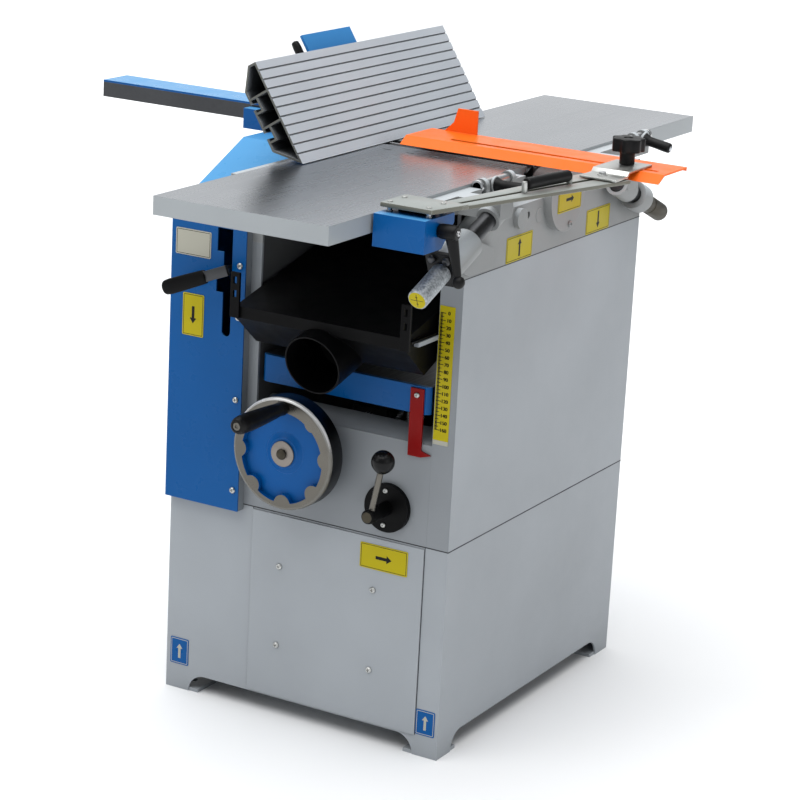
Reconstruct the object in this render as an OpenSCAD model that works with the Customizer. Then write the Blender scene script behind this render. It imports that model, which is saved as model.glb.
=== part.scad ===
// Combination planer thicknesser on a sheet steel cabinet.
// The front with the handwheel faces -Y, the long open side faces +X, +Z is up.
// The origin lies on the floor at the centre of the four floor bolt holes.

/* [Cabinet] */
// How much wider the cabinet is than the planer tables
cab_extra = 87; // [83:1:105]
// Depth of the cabinet along the feed direction
cab_d = 531.5; // [515:0.5:545]
// Width of the belt drive compartment beside the cabinet
drive_w = 104.5; // [98:0.5:120]
// Height of the lower cabinet
base_h = 302; // [290:1:315]
// Height of the side columns above the lower cabinet
column_h = 375.7; // [366:0.1:386]
// Width of each side column seen from the front
column_w = 34; // [31:0.5:37]
// Height of the apron that carries the handwheel
apron_h = 143; // [138:1:150]
// Thickness of the cabinet sheet
sheet = 3; // [2:0.5:4]
// Height of the arches between the feet
arch_h = 27; // [20:1:32]
// Length of each foot along the floor
foot_l = 39; // [32:1:52]
// Side of each square foot plate
foot_plate = 56; // [50:1:70]
// Thickness of each foot plate
foot_t = 5; // [4:0.5:8]
// Diameter of the floor bolt holes
bolt_d = 14; // [10:0.5:16]
// Set-back of the front panel from the inside of the columns
panel_gap = 2; // [0:0.5:18]
// Thickness of the front panel
panel_t = 2; // [1.5:0.5:4]

/* [Planer tables] */
// Width of both planer tables
table_w = 260; // [252:1:264]
// Overall length of infeed and outfeed table
table_l = 1072; // [980:1:1120]
// Height of the table surface above the columns
table_rise = 109.2; // [106:0.1:112]
// Depth of the table edge
table_t = 24.6; // [20:0.1:26]
// Thickness of the table plate inside its edges
plate_t = 11; // [8:0.5:14]
// Thickness of ribs and edges under the tables
rib_t = 9; // [6:0.5:12]
// Gap between the table lips
mouth_w = 42; // [40:1:60]
// Number of slots in each table lip
lip_slots = 7; // [3:1:9]
// Width of the cheek brackets beside the tables
cheek_w = 19; // [14:0.5:20]
// Diameter of the cam shafts that lock the tables
cam_d = 14; // [12:0.5:15]
// Diameter of the lock lever grips
lock_grip_d = 15; // [12:0.5:18]
// Length of the lock lever grips
lock_grip_l = 48; // [40:1:56]

/* [Height adjusters] */
// Slope of the inclined adjusting shafts in degrees
adj_slope = 23; // [20:0.5:26]
// Diameter of the inclined adjusting shafts
adj_d = 24; // [20:0.5:26]
// Outside diameter of the fixed bushes
bush_d = 42; // [38:0.5:43]
// Outside diameter of the bushes on the tables
nut_d = 34; // [31:0.5:36]
// Diameter of the knurled adjusting knob
knob_d = 27; // [24:0.5:30]
// Length of the knurled adjusting knob
knob_l = 66; // [55:1:70]

/* [Cutterblock] */
// Diameter of the cutting circle
circle_d = 72; // [70:0.5:74]
// Diameter of the cutterblock body
block_d = 70; // [66:0.5:70]
// Number of knives
knives = 3; // [2:1:4]
// Diameter of the cutterblock journals
journal_d = 25; // [20:0.5:28]
// Outside diameter of the bearings
bearing_d = 52; // [47:0.5:54]
// Diameter of the bearing cover on the open side
cover_d = 100; // [92:1:102]
// Diameter of the feed rollers
roller_d = 36; // [30:0.5:38]
// Distance of each feed roller from the cutterblock
roller_y = 62; // [58:0.5:64]

/* [Thicknesser] */
// Height of the thicknessing table above the lower cabinet
thick_rise = 222; // [217:0.5:226]
// Side clearance of the thicknessing table in the opening
thick_gap = 7; // [5:0.5:10]
// Height of the beam along the thicknessing table's edge
beam_h = 38; // [32:0.5:44]
// Depth of that beam
beam_t = 8; // [6:0.5:12]
// Diameter of the guide column
guide_d = 60; // [50:1:66]
// Diameter of the lifting screw
screw_d = 24; // [20:0.5:28]
// Length of the depth pointer
pointer_l = 97; // [84:1:100]
// Width of the depth pointer
pointer_w = 20; // [14:0.5:24]
// Width of the depth scale
scale_w = 23; // [12:0.5:28]
// Length of the depth scale
scale_l = 190; // [170:1:195]

/* [Chip hood] */
// Side clearance of the hood between the columns
hood_gap = 7.5; // [6:0.5:9]
// Sheet thickness of the hood
hood_t = 2; // [1.5:0.25:3]
// Reach of the hood's lip in front of the cabinet
hood_reach = 72; // [66:1:80]
// Height of the hood's lip above the lower cabinet
lip_rise = 304; // [301:0.5:308]
// Outside diameter of the extraction port
port_d = 84; // [78:0.5:88]
// Reach of the extraction port in front of the cabinet
port_reach = 86; // [80:1:92]
// Downward tilt of the extraction port in degrees
port_tilt = 15; // [12:0.5:18]

/* [Fence] */
// Length of the fence
fence_l = 515; // [480:1:530]
// Height of the fence face
fence_h = 152; // [145:1:156]
// Depth of the fence profile
fence_d = 36; // [33:0.5:38]
// Wall thickness of the fence profile
fence_wall = 3; // [2.5:0.25:3.5]
// Backward tilt of the fence from upright in degrees
fence_tilt = 32.5; // [28:0.5:33]
// Gap between fence and table
fence_lift = 1.3; // [1:0.1:2.5]
// Number of grooves along the fence face
grooves = 10; // [6:1:14]
// Width of the fence bar
bar_w = 59; // [50:1:62]
// Height of the fence bar
bar_h = 22; // [18:0.5:23]
// Length of the fence bar
bar_l = 390; // [360:1:400]
// Radius of the arc slots that guide the tilt
arc_r = 134; // [133:0.5:137]

/* [Bridge guard] */
// Length of the bridge guard
guard_l = 398; // [370:1:410]
// Width of the bridge guard's top
guard_w = 74; // [66:1:78]
// Sheet thickness of the bridge guard
guard_t = 2.5; // [2:0.25:3]
// Width of the pivot block
pivot_w = 74; // [66:1:78]
// Length of the pivot block
pivot_l = 74; // [68:1:78]
// Height of the pivot block
pivot_h = 42; // [38:0.5:44]
// Diameter of the pivot shaft
pivot_d = 12; // [10:0.5:14]
// Thickness of the guard arm
arm_t = 6; // [5:0.5:8]
// Diameter of the clamp knob
star_d = 46; // [38:1:50]

/* [Handwheel and levers] */
// Diameter of the handwheel
wheel_d = 158; // [146:1:160]
// Depth of the handwheel rim
rim_w = 30; // [24:0.5:32]
// Radial thickness of the handwheel rim
rim_t = 9; // [7:0.5:12]
// Number of lobes around the pocket in the handwheel's face
scallops = 8; // [6:2:10]
// Diameter of the handwheel shaft
shaft_d = 16; // [14:0.5:20]
// Length of the handwheel grip
grip_l = 112; // [95:1:118]
// Diameter of the handwheel grip
grip_d = 26; // [22:0.5:28]
// Diameter of the ball on the table clamp lever
ball_d = 32; // [26:0.5:34]
// Diameter of the table clamp flange
flange_d = 68; // [60:1:72]
// Length of the feed lever grip
feed_grip_l = 74; // [64:1:80]
// Diameter of the feed lever grip
feed_grip_d = 20; // [16:0.5:24]

/* [Drive] */
// Diameter of the motor
motor_d = 170; // [150:1:180]
// Length of the motor
motor_l = 220; // [190:1:240]
// Diameter of the motor pulley
motor_pulley_d = 128; // [110:1:136]
// Diameter of the cutterblock pulley
cutter_pulley_d = 58; // [54:1:60]
// Width of the drive belt
belt_w = 14; // [12:0.5:16]
// Thickness of the drive belt
belt_t = 8; // [6:0.5:9]
// Reach of the drive cover in front of the cabinet
cover_reach = 15; // [12:0.5:18]
// Drop of the drive cover's flat top below the tables
cover_drop = 2.4; // [2:0.1:5]

/* [Fits] */
// Radial clearance of running shafts
run_fit = 0.05; // [0.02:0.01:0.08]
// Clearance of sliding faces
slide_fit = 0.3; // [0.25:0.05:0.4]

/* [Hidden] */
$fn = 48;
// Overrun of every cut
cut = 1;

// Main places
cab_w = table_w + cab_extra;
base_w = cab_w + drive_w;
tx = drive_w / 2;
base_x0 = -base_w / 2;
base_x1 = base_w / 2;
cab_x0 = tx - cab_w / 2;
cab_x1 = tx + cab_w / 2;
open_x0 = cab_x0 + column_w;
open_x1 = cab_x1 - column_w;
front_y = -cab_d / 2;
back_y = cab_d / 2;
head_z = base_h + column_h;
apron_z = base_h + apron_h;
table_top = head_z + table_rise;
thick_top = base_h + thick_rise;
lip_z = base_h + lip_rise;
cover_top = table_top - cover_drop;
table_low = table_top - table_t;
cutter_z = table_top - circle_d / 2;
bolt_in = foot_plate / 2;

// Head plates
way_gap = 8;
head_top = table_low - way_gap;
shoulder_h = 40;
shoulder_l = 66;
hump_d = 2 * (table_top - cutter_z) - 4 * cut;
roller_z = cutter_z - circle_d / 2 + roller_d / 2 - cut;
roller_journal = 16;
finger_y = -94;
finger_rod = 10;
finger_z = roller_z + finger_rod / 2;
boss_d = 28;
boss_h = 8;
boss_y = -118;
boss_drop = 13;
boss_z = cutter_z - boss_drop;

// Planer tables
table_x0 = tx - table_w / 2;
table_x1 = tx + table_w / 2;
mouth_y = mouth_w / 2;
table_shift = 2;
infeed_y0 = -table_l / 2 - table_shift;
outfeed_y1 = table_l / 2 - table_shift;
lip_y = 54;
lip_w = 14;
lip_h = 4;
lip_clear = 4;
cheek_y0 = 62;
cheek_y1 = 334;
cheek_drop = 4;
cheek_top = table_top - cheek_drop;
cheek_under = 3;
cheek_low = table_low - cheek_under;

// Table locks
lug_l = 9;
cam_x = table_x1 + cheek_w / 2;
cam_rise = 1;
cam_z = cheek_top + cam_rise;
infeed_lug_y = -168;
infeed_lug2_y = -94;
lug_in = 4;
outfeed_lug_y = cheek_y1 - lug_in;
lug_pitch = 34;
outfeed_lug2_y = outfeed_lug_y - lug_pitch;
infeed_grip_y = -150;
grip_back = 16;
outfeed_grip_y = outfeed_lug_y - grip_back;
cam_disc = 18;
cam_disc_t = 6;

// Inclined adjusters, measured along the shaft from a point on its axis
adj_x = cab_x1 + bush_d / 2 + cut;
infeed_ahead = 44;
infeed_adj_y = cab_d / 2 + infeed_ahead;
infeed_up = 57.3;
infeed_adj_z = head_z + infeed_up;
outfeed_inset = 40;
outfeed_adj_y = cab_d / 2 - outfeed_inset;
outfeed_up = 32.3;
outfeed_adj_z = head_z + outfeed_up;
bush_lo = -55;
bush_l = 62;
bush_plate = 8;
collar_t = 7;
collar_h = 26;
collar_w = bush_d;
nut_lo = 62;
nut_l = 40;
out_bush_lo = -13;
out_bush_l = 53;
out_knob_l = 53;
out_nut_lo = 62;
gusset_reach = 62;
gusset_low = 7;
gusset_high = 34;
arm_under = 2.5;
arm_z0 = table_low - arm_under;
cap_t = 1.5;

// Thicknesser
thick_w = open_x1 - open_x0 - 2 * thick_gap;
thick_x0 = tx - thick_w / 2;
thick_x1 = tx + thick_w / 2;
thick_plate = 14;
beam_y = front_y - slide_fit;
guide_off = 45;
guide_x = tx + guide_off;
wheel_off = 61;
wheel_x = tx - wheel_off;
wheel_up = 105;
wheel_z = base_h + wheel_up;
sleeve_wall = 11;
sleeve_l = 88;
nut_wall = 12;
bridge_t = 24;
bridge_d = 180;
post_short = 30;
guide_top = thick_top - post_short;
screw_top = thick_top - post_short;
crown_d = 70;
crown_t = 14;
pinion_d = 40;
pinion_t = 18;
screw_seat = 6;
post_t = 14;

// Chip hood
hood_x0 = open_x0 + hood_gap;
hood_x1 = open_x1 - hood_gap;
lip_h2 = 16;
hood_lip_y = front_y - hood_reach;
belly_out = 19;
hood_low_y = front_y - belly_out;
belly_drop = 60;
hood_low_z = lip_z - belly_drop;
mouth_front = -62;
mouth_back = 66;
mouth_under = 15;
mouth_z = cutter_z - circle_d / 2 - mouth_under;
hood_step = 29.7;
hood_top_z = mouth_z - hood_step;
mouth_lip = 12;
mouth_back_z = mouth_z - mouth_lip;
hood_top_y = -82;
port_y = front_y - port_reach;
port_drop = 57;
port_z = lip_z - port_drop;
port_stop = 4;
port_back_y = front_y - port_stop;
rail_h = 6;
rail_drop = 8;
rail_z = lip_z - rail_drop;
rail_out = 52;
rail_y0 = front_y - rail_out;
rail_y1 = 60;
runner_h = 3;
runner_in = 110;
runner_y1 = front_y + runner_in;
strap_w = 14;
strap_h = 62;
strap_t = 4;

// Fence
edge_off = 100;
edge_x = tx - edge_off;
edge_z = table_top + fence_lift;
fence_y0 = -235;
bar_y0 = -35;
bar_lift = 8;
bar_z0 = table_top + bar_lift;
bar_off = 190;
bar_x1 = tx - bar_off;
bar_x0 = bar_x1 - bar_l;
rear_guard_t = 3;
holder_far = 317;
holder_x0 = tx - holder_far;
holder_near = 262;
holder_x1 = tx - holder_near;
holder_wall = 18;
holder_foot = 3;
tilt_t = 4;
ear_t = 4;
tilt_y0 = bar_y0 - ear_t - cut;
tilt_l = 130;
tilt_low = 60;
tilt_over = 36;
tilt_top = fence_h + tilt_over;
arc_fix = 53.5;
arc_half = 3.3;
arc_band = 9;
lever_rod = 8;
lever_grip = 13;
lever_l = 40;
saddle_gap = 4;
saddle_t = 6;
saddle_plate = 6;
saddle_l = 42;
saddle_x0 = bar_x1 - saddle_l;
pin_d = 6;

// Bridge guard
guard_y0 = -28;
guard_lift = 19.1;
guard_z = table_top + guard_lift;
flange_y = 17;
flange_h = 11;
guard_off = 60;
guard_x0 = tx - guard_off;
lip_d = 5;
tab_w = 32;
tab_h = 34;
tab_flare = 20;
tab_off = 42;
tab_x = guard_x0 + tab_off;
slot_w = 10;
slot_end = 16;
pivot_gap = 4;
pivot_x0 = table_x1 + pivot_gap;
pivot_x1 = pivot_x0 + pivot_w;
pivot_set = 32;
pivot_y0 = -cheek_y1 - pivot_set - pivot_l;
pivot_over = 2;
pivot_z1 = table_top + pivot_over;
pivot_cy = pivot_y0 + pivot_l / 2;
pivot_drop = 15;
pivot_cz = table_top - pivot_drop;
spacer_h = 6;
spacer_d = 9;
arm_z = pivot_z1 + spacer_h;
arm_set = 15;
arm_plate_y0 = pivot_y0 + arm_set;
arm_over = 2;
arm_plate_y1 = pivot_y0 + pivot_l + arm_over;
arm_in = 238;
arm_far_x0 = tx + arm_in;
arm_out = 307;
arm_far_x1 = tx + arm_out;
arm_far_y = -64;
arm_slot_w = 6;
star_off = 275;
star_x = tx + star_off;
star_y = -12;
clamp_half = 27;
clamp_x0 = star_x - clamp_half;
clamp_x1 = star_x + clamp_half;
clamp_t = 3;
stud_d = 8;
stud_head = 16;
grip_y0 = -246;
grip_y1 = -150;
grip_rise = 11;
hang_out = 22;
hang_x = pivot_x1 + hang_out;
hang_l = 65;
hang_lean = 8;
hang_ball = 16;
hang_hub = 20;
hang_rod = 9;
star_t = 18;
stem_d = 21;
stem_h = 18;
handle_d = 16;

// Handwheel and levers
wheel_out = 56;
wheel_y = front_y - wheel_out;
hub_d = 40;
web_t = 10;
grip_neck = 12;
clamp_in = 61;
clamp_x = open_x1 - clamp_in;
clamp_up = 45;
clamp_z = base_h + clamp_up;
clamp_reach = 58;
clamp_hub = 20;
clamp_rod = 10;
rod_l = 80;
rod_lean = 10.7;
flange_t = 8;
feed_off = 11;
feed_x = cab_x0 - feed_off;
feed_up = 334;
feed_z = base_h + feed_up;
feed_back = 116;
feed_pivot_y = front_y + feed_back;
feed_rod = 11;
feed_reach = 34;
feed_droop = 22;
feed_pin_l = 22;

// Drive
motor_z = 152;
motor_foot = 12;
shelf_z = motor_z - motor_d / 2 - motor_foot;
shelf_t = 5;
motor_off = 70;
motor_x1 = tx + motor_off;
pulley_off = 52;
pulley_x = cab_x0 - pulley_off;
pulley_flanges = 12;
pulley_w = belt_w + pulley_flanges;
groove_play = 2;
groove_w = belt_w + groove_play;
cover_x0 = base_x0;
cover_t = 2;
cover_in = 18;
cover_skirt = 8;
cover_low = base_h - cover_skirt;
cover_up = 26;
cover_front_top = head_z + cover_up;
cover_ridge = 110;
slot_half = 7;
slot_x0 = feed_x - slot_half;
slot_x1 = feed_x + slot_half;
slot_down = 94;
slot_lo = feed_z - slot_down;
slot_up = 57;
slot_hi = feed_z + slot_up;

// Building blocks
module box(a, b) {
  translate(a)
    cube(b - a);
}

module xrod(d, x0, x1, y = 0, z = 0) {
  translate([x0, y, z])
    rotate([0, 90, 0])
      cylinder(d = d, h = x1 - x0);
}

module yrod(d, y0, y1, x = 0, z = 0) {
  translate([x, y0, z])
    rotate([-90, 0, 0])
      cylinder(d = d, h = y1 - y0);
}

module zrod(d, z0, z1, x = 0, y = 0) {
  translate([x, y, z0])
    cylinder(d = d, h = z1 - z0);
}

// Outline in Y and Z drawn out along X
module along_x(x0, x1) {
  translate([x0, 0, 0])
    rotate([90, 0, 90])
      linear_extrude(x1 - x0)
        children();
}

// Outline in X and Z drawn out along Y
module along_y(y0, y1) {
  translate([0, y1, 0])
    rotate([90, 0, 0])
      linear_extrude(y1 - y0)
        children();
}

module hexbolt(d, h) {
  cylinder(d = d, h = h, $fn = 6);
}

// Convex outline moved inwards by d, points listed counter-clockwise
function turn(v) = [-v[1], v[0]];
function shift_line(p, q, d) = [p + d * turn((q - p) / norm(q - p)), q - p];
function cross2(a, b) = a[0] * b[1] - a[1] * b[0];
function meet(l, m) = l[0] + l[1] * (cross2(m[0] - l[0], m[1]) / cross2(l[1], m[1]));
function inset(p, d) = [for (i = [0 : len(p) - 1])
  let (n = len(p), a = p[(i + n - 1) % n], b = p[i], c = p[(i + 1) % n])
  meet(shift_line(a, b, d), shift_line(b, c, d))];

// Lower cabinet
light = [0.63, 0.65, 0.67];
blue = [0.14, 0.37, 0.63];
black = [0.08, 0.08, 0.09];
steel = [0.6, 0.61, 0.62];
alloy = [0.66, 0.69, 0.72];
yellow = [0.8, 0.7, 0.08];

module arch_front() {
  a = base_x0 + foot_l + arch_h;
  b = base_x1 - foot_l - arch_h;
  box([a, front_y - cut, -cut], [b, back_y + cut, arch_h]);
  for (x = [a, b])
    yrod(2 * arch_h, front_y - cut, back_y + cut, x, 0);
}

module arch_side() {
  a = front_y + foot_l + arch_h;
  b = back_y - foot_l - arch_h;
  box([base_x0 - cut, a, -cut], [base_x1 + cut, b, arch_h]);
  for (y = [a, b])
    xrod(2 * arch_h, base_x0 - cut, base_x1 + cut, y, 0);
}

module base_frame() color(light) {
  belt_half = motor_pulley_d / 2 + belt_t + sheet;
  box([motor_x1 - motor_l, front_y + sheet / 2, shelf_z - shelf_t], [motor_x1, back_y - sheet / 2, shelf_z]);
  difference() {
    box([base_x0, front_y, 0], [base_x1, back_y, base_h]);
    box([base_x0 + sheet, front_y + sheet, -cut], [base_x1 - sheet, back_y - sheet, base_h - sheet]);
    box([pulley_x - pulley_w, -belt_half, base_h - sheet - cut],
      [pulley_x + pulley_w, belt_half, base_h + cut]);
    arch_front();
    arch_side();
  }
  for (sx = [-1, 1], sy = [-1, 1])
    difference() {
      translate([sx * (base_w / 2 - bolt_in), sy * (cab_d / 2 - bolt_in), foot_t / 2])
        cube([foot_plate - sheet, foot_plate - sheet, foot_t], center = true);
      zrod(bolt_d, -cut, foot_t + cut, sx * (base_w / 2 - bolt_in), sy * (cab_d / 2 - bolt_in));
    }
}

module base_panel() color(light) {
  margin = sheet;
  box([open_x0 + panel_gap, front_y - panel_t, arch_h + margin],
    [open_x1 - panel_gap, front_y, base_h - margin]);
}

// Bare plates where notices sit
plate_thin = 0.6;
notice_w = 75;
notice_h = 36;
side_notice = 74;
side_notice_h = 35;
cover_notice = 35;
cover_notice_h = 60;
notice_off = 76;
notice_x = tx + notice_off;
notice_drop = 12;
notice_z = base_h - notice_drop;
side_notice_up = 18.8;
side_notice_z = head_z + side_notice_up;
side_notice_ys = [-115.5, 124];
disc_notice = 70;
disc_notice_h = 33;
disc_notice_y = 4.5;
disc_notice_drop = 5;
cover_notice_off = 239;
cover_notice_x = tx - cover_notice_off;
cover_notice_up = 261.5;
cover_notice_z = base_h + cover_notice_up;

module label_plates() color(yellow) {
  face_y = front_y - panel_t;
  box([notice_x - notice_w / 2, face_y - plate_thin, notice_z - notice_h],
    [notice_x + notice_w / 2, face_y, notice_z]);
  for (y = side_notice_ys)
    box([cab_x1, y - side_notice / 2, side_notice_z - side_notice_h / 2],
      [cab_x1 + plate_thin, y + side_notice / 2, side_notice_z + side_notice_h / 2]);
  disc_z = cutter_z - disc_notice_drop;
  box([cab_x1 + cover_h, disc_notice_y - disc_notice / 2, disc_z - disc_notice_h / 2],
    [cab_x1 + cover_h + plate_thin, disc_notice_y + disc_notice / 2, disc_z + disc_notice_h / 2]);
  cover_y = front_y - cover_reach;
  box([cover_notice_x - cover_notice / 2, cover_y - plate_thin, cover_notice_z - cover_notice_h / 2],
    [cover_notice_x + cover_notice / 2, cover_y, cover_notice_z + cover_notice_h / 2]);
}

screw_head = 9;
disc_screw_angles = [-75, 168];
disc_screw_share = 0.42;
screw_h = 4;
panel_screw_x = 76;
panel_screw_zs = [107, 224];
cover_screw_ups = [22, 153];
cover_screw_x = cab_x0 + cover_in / 2;

module cabinet_screws() color(steel) {
  for (x = [-panel_screw_x, panel_screw_x], z = panel_screw_zs)
    yrod(screw_head, front_y - panel_t - screw_h, front_y - panel_t, tx + x - notice_w / 5, z);
  for (z = cover_screw_ups)
    yrod(screw_head, front_y - cover_reach - screw_h, front_y - cover_reach, cover_screw_x, base_h + z);
  for (a = disc_screw_angles)
    xrod(screw_head, cab_x1 + cover_h, cab_x1 + cover_h + screw_h,
      cover_d * disc_screw_share * sin(a), cutter_z + cover_d * disc_screw_share * cos(a));
}

// Upper cabinet
module column(x0)
  difference() {
    box([x0, front_y, base_h], [x0 + column_w, back_y, head_z]);
    box([x0 + sheet, front_y + sheet, base_h - cut],
      [x0 + column_w - sheet, back_y - sheet, head_z - sheet]);
  }

module hood_ledge(x0, x1)
  box([x0, rail_y0, rail_z - rail_h], [x1, rail_y1, rail_z]);

module column_left() color(light) {
  column(cab_x0);
  hood_ledge(open_x0 - sheet / 4, hood_x0 - cut);
  xrod(feed_rod, feed_x - feed_pin_l / 2, cab_x0 + sheet / 2, feed_pivot_y, feed_z);
}

module column_right() color(light) {
  column(open_x1);
  hood_ledge(hood_x1 + cut, open_x1 + sheet / 4);
}

apron_lip = 22;

module apron(y_out, dir)
  for (part = [[apron_lip, apron_z - sheet], [sheet, base_h]])
    translate([open_x0, dir > 0 ? y_out : y_out - part[0], part[1]])
      cube([open_x1 - open_x0, part[0], apron_z - part[1]]);

module aprons() color(light) {
  difference() {
    apron(front_y, 1);
    yrod(shaft_d + 2 * run_fit, front_y - cut, front_y + sheet + cut, wheel_x, wheel_z);
    yrod(clamp_hub / 2 + 2 * run_fit, front_y - cut, front_y + sheet + cut, clamp_x, clamp_z);
  }
  apron(back_y, -1);
}

// Head plates with the bearings
module head(x0) color(light)
  difference() {
    union() {
      along_x(x0, x0 + column_w)
        polygon([[front_y, head_z], [back_y, head_z], [back_y, head_z + shoulder_h],
          [back_y - shoulder_l, head_top], [front_y + shoulder_l, head_top], [front_y, head_z + shoulder_h]]);
      xrod(hump_d, x0, x0 + column_w, 0, cutter_z);
    }
    xrod(bearing_d, x0 - cut, x0 + column_w + cut, 0, cutter_z);
    for (y = [-roller_y, roller_y])
      xrod(roller_journal + 2 * run_fit, x0 - cut, x0 + column_w + cut, y, roller_z);
    xrod(finger_rod + 2 * run_fit, x0 - cut, x0 + column_w + cut, finger_y, finger_z);
  }

module head_left() head(cab_x0);

module head_right() {
  head(open_x1);
  color(light)
    xrod(boss_d, cab_x1 - cut, cab_x1 + boss_h, boss_y - boss_d / 4, boss_z);
}

cover_h = 12;

module bearing_cover() color(light)
  intersection() {
    xrod(cover_d, cab_x1, cab_x1 + cover_h, 0, cutter_z);
    box([cab_x1 - cut, -cover_d, cutter_z - cover_d],
      [cab_x1 + cover_h + cut, cover_d, cutter_z + hump_d / 2]);
  }

bearing_w = 16;

module cutter_bearings() color(steel)
  for (x = [cab_x0 + column_w / 2, cab_x1 - column_w / 2])
    difference() {
      xrod(bearing_d, x - bearing_w / 2, x + bearing_w / 2, 0, cutter_z);
      xrod(journal_d + 2 * run_fit, x - bearing_w, x + bearing_w, 0, cutter_z);
    }

// Cutterblock
block_half = table_w / 2 + cut;
knife_t = 3;
gib_t = 6;
knife_depth = 20;
knife_slot = knife_t + gib_t;

module cutterblock() color(steel) {
  difference() {
    xrod(block_d, tx - block_half, tx + block_half, 0, cutter_z);
    for (i = [0 : knives - 1])
      translate([tx, 0, cutter_z])
        rotate([360 * i / knives, 0, 0])
          box([-block_half - cut, -knife_slot / 2, block_d / 2 - knife_depth],
            [block_half + cut, knife_slot / 2, block_d]);
  }
  xrod(journal_d, pulley_x - pulley_w, tx - block_half + cut, 0, cutter_z);
  xrod(journal_d, tx + block_half - cut, cab_x1 - sheet, 0, cutter_z);
  pulley(cutter_pulley_d, cutter_z);
}

module cutter_knives() color(alloy)
  for (i = [0 : knives - 1])
    translate([tx, 0, cutter_z])
      rotate([360 * i / knives, 0, 0]) {
        box([-block_half, -knife_slot / 2, block_d / 2 - knife_depth],
          [block_half, -knife_slot / 2 + knife_t, circle_d / 2 - knife_t / 20]);
        box([-block_half, -knife_slot / 2 + knife_t, block_d / 2 - knife_depth],
          [block_half, knife_slot / 2, block_d / 2 - knife_t]);
      }

module pulley(d, z)
  difference() {
    xrod(d, pulley_x - pulley_w / 2, pulley_x + pulley_w / 2, 0, z);
    difference() {
      xrod(d + cut, pulley_x - groove_w / 2, pulley_x + groove_w / 2, 0, z);
      xrod(d - 2 * belt_t, pulley_x - groove_w, pulley_x + groove_w, 0, z);
    }
  }

module roller(y) color(steel) {
  xrod(roller_d, open_x0 + roller_journal / 2, open_x1 - roller_journal / 2, y, roller_z);
  xrod(roller_journal, open_x0 - column_w * 0.6, open_x1 + column_w * 0.6, y, roller_z);
}

module infeed_roller() roller(-roller_y);
module outfeed_roller() roller(roller_y);

fingers = 11;
finger_t = 6;
finger_w = 12;
finger_gap = 4;
finger_drop = finger_z - mouth_z - finger_gap;
finger_pitch = table_w / fingers;

module kickback_fingers() color(steel) {
  xrod(finger_rod, open_x0 - column_w / 2, open_x1 + column_w / 2, finger_y, finger_z);
  for (i = [0 : fingers - 1])
    translate([table_x0 + finger_pitch * (i + 0.5), finger_y, finger_z])
      along_x(-finger_t / 2, finger_t / 2)
        polygon([[-finger_w / 2, finger_rod], [finger_w / 2, finger_rod],
          [finger_w / 2, -finger_drop / 2], [-finger_w / 3, -finger_drop], [-finger_w / 2, 0]]);
}

// Drive
fin = 8;
shaft_motor = 28;

module motor() color(blue) {
  difference() {
    union() {
      xrod(motor_d, motor_x1 - motor_l, motor_x1, 0, motor_z);
      for (y = [-motor_d / 2 + fin, motor_d / 2 - 3 * fin])
        box([motor_x1 - motor_l + fin, y, shelf_z], [motor_x1 - fin, y + 2 * fin, motor_z]);
    }
    xrod(shaft_motor + 2 * run_fit, motor_x1 - motor_l - cut, motor_x1 - fin, 0, motor_z);
  }
}

module motor_pulley() color(steel) {
  pulley(motor_pulley_d, motor_z);
  xrod(shaft_motor, pulley_x - pulley_w / 2, motor_x1 - 2 * fin, 0, motor_z);
}

module belt_loop(extra)
  hull() {
    translate([0, cutter_z])
      circle(d = cutter_pulley_d - 2 * belt_t + extra, $fn = 64);
    translate([0, motor_z])
      circle(d = motor_pulley_d - 2 * belt_t + extra, $fn = 64);
  }

module drive_belt() color(black)
  along_x(pulley_x - belt_w / 2, pulley_x + belt_w / 2)
    difference() {
      belt_loop(2 * belt_t);
      belt_loop(2 * slide_fit);
    }

function cover_outline(t) = [
  [front_y - cover_reach + t, base_h + slide_fit], [back_y - t, base_h + slide_fit],
  [back_y - t, cover_front_top - t / 2], [cover_ridge - t / 2, cover_top - t],
  [-cover_ridge + t / 2, cover_top - t], [front_y - cover_reach + t, cover_front_top - t / 2]];

module drive_cover() color(blue)
  difference() {
    union() {
      difference() {
        along_x(cover_x0, cab_x0)
          polygon(cover_outline(0));
        along_x(cover_x0 + cover_t, cab_x0 + cut)
          polygon(concat([[front_y - cover_reach + cover_t, base_h - cut], [back_y - cover_t, base_h - cut]],
            [for (i = [2 : 5]) cover_outline(cover_t)[i]]));
      }
      box([cover_x0, front_y - cover_reach, cover_low], [cab_x0 + cover_in, front_y, base_h + cover_t]);
      box([cab_x0 - cut, front_y - cover_reach, cover_low], [cab_x0 + cover_in, front_y, cover_front_top]);
    }
    box([slot_x0, front_y - cover_reach - cut, slot_lo + slot_half], [slot_x1, front_y + cut, slot_hi]);
    yrod(2 * slot_half, front_y - cover_reach - cut, front_y + cut, feed_x, slot_lo + slot_half);
    for (z = [slot_hi - feed_rod * 3, feed_z - feed_rod * 3])
      box([slot_x0 - feed_rod, front_y - cover_reach - cut, z], [slot_x1, front_y + cut, z + feed_rod * 3]);
  }

feed_y = front_y - cover_reach - feed_reach;

module feed_lever() color(black) {
  difference() {
    xrod(2.2 * feed_rod, feed_x - feed_pin_l / 2, cab_x0 - slide_fit, feed_pivot_y, feed_z);
    xrod(feed_rod + 2 * run_fit, feed_x - feed_pin_l, cab_x0, feed_pivot_y, feed_z);
  }
  yrod(feed_rod, feed_y, feed_pivot_y - feed_rod * 0.7, feed_x, feed_z);
  translate([feed_x, feed_y, feed_z])
    sphere(d = feed_rod + 4 * slide_fit);
  translate([feed_x, feed_y, feed_z])
    rotate([0, -90 - feed_droop, 0]) {
      cylinder(d = feed_rod, h = feed_reach / 2);
      translate([0, 0, feed_reach / 3])
        cylinder(d = feed_grip_d, h = feed_grip_l);
    }
}

// Thicknesser
scale_drop = 38.5;

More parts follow.
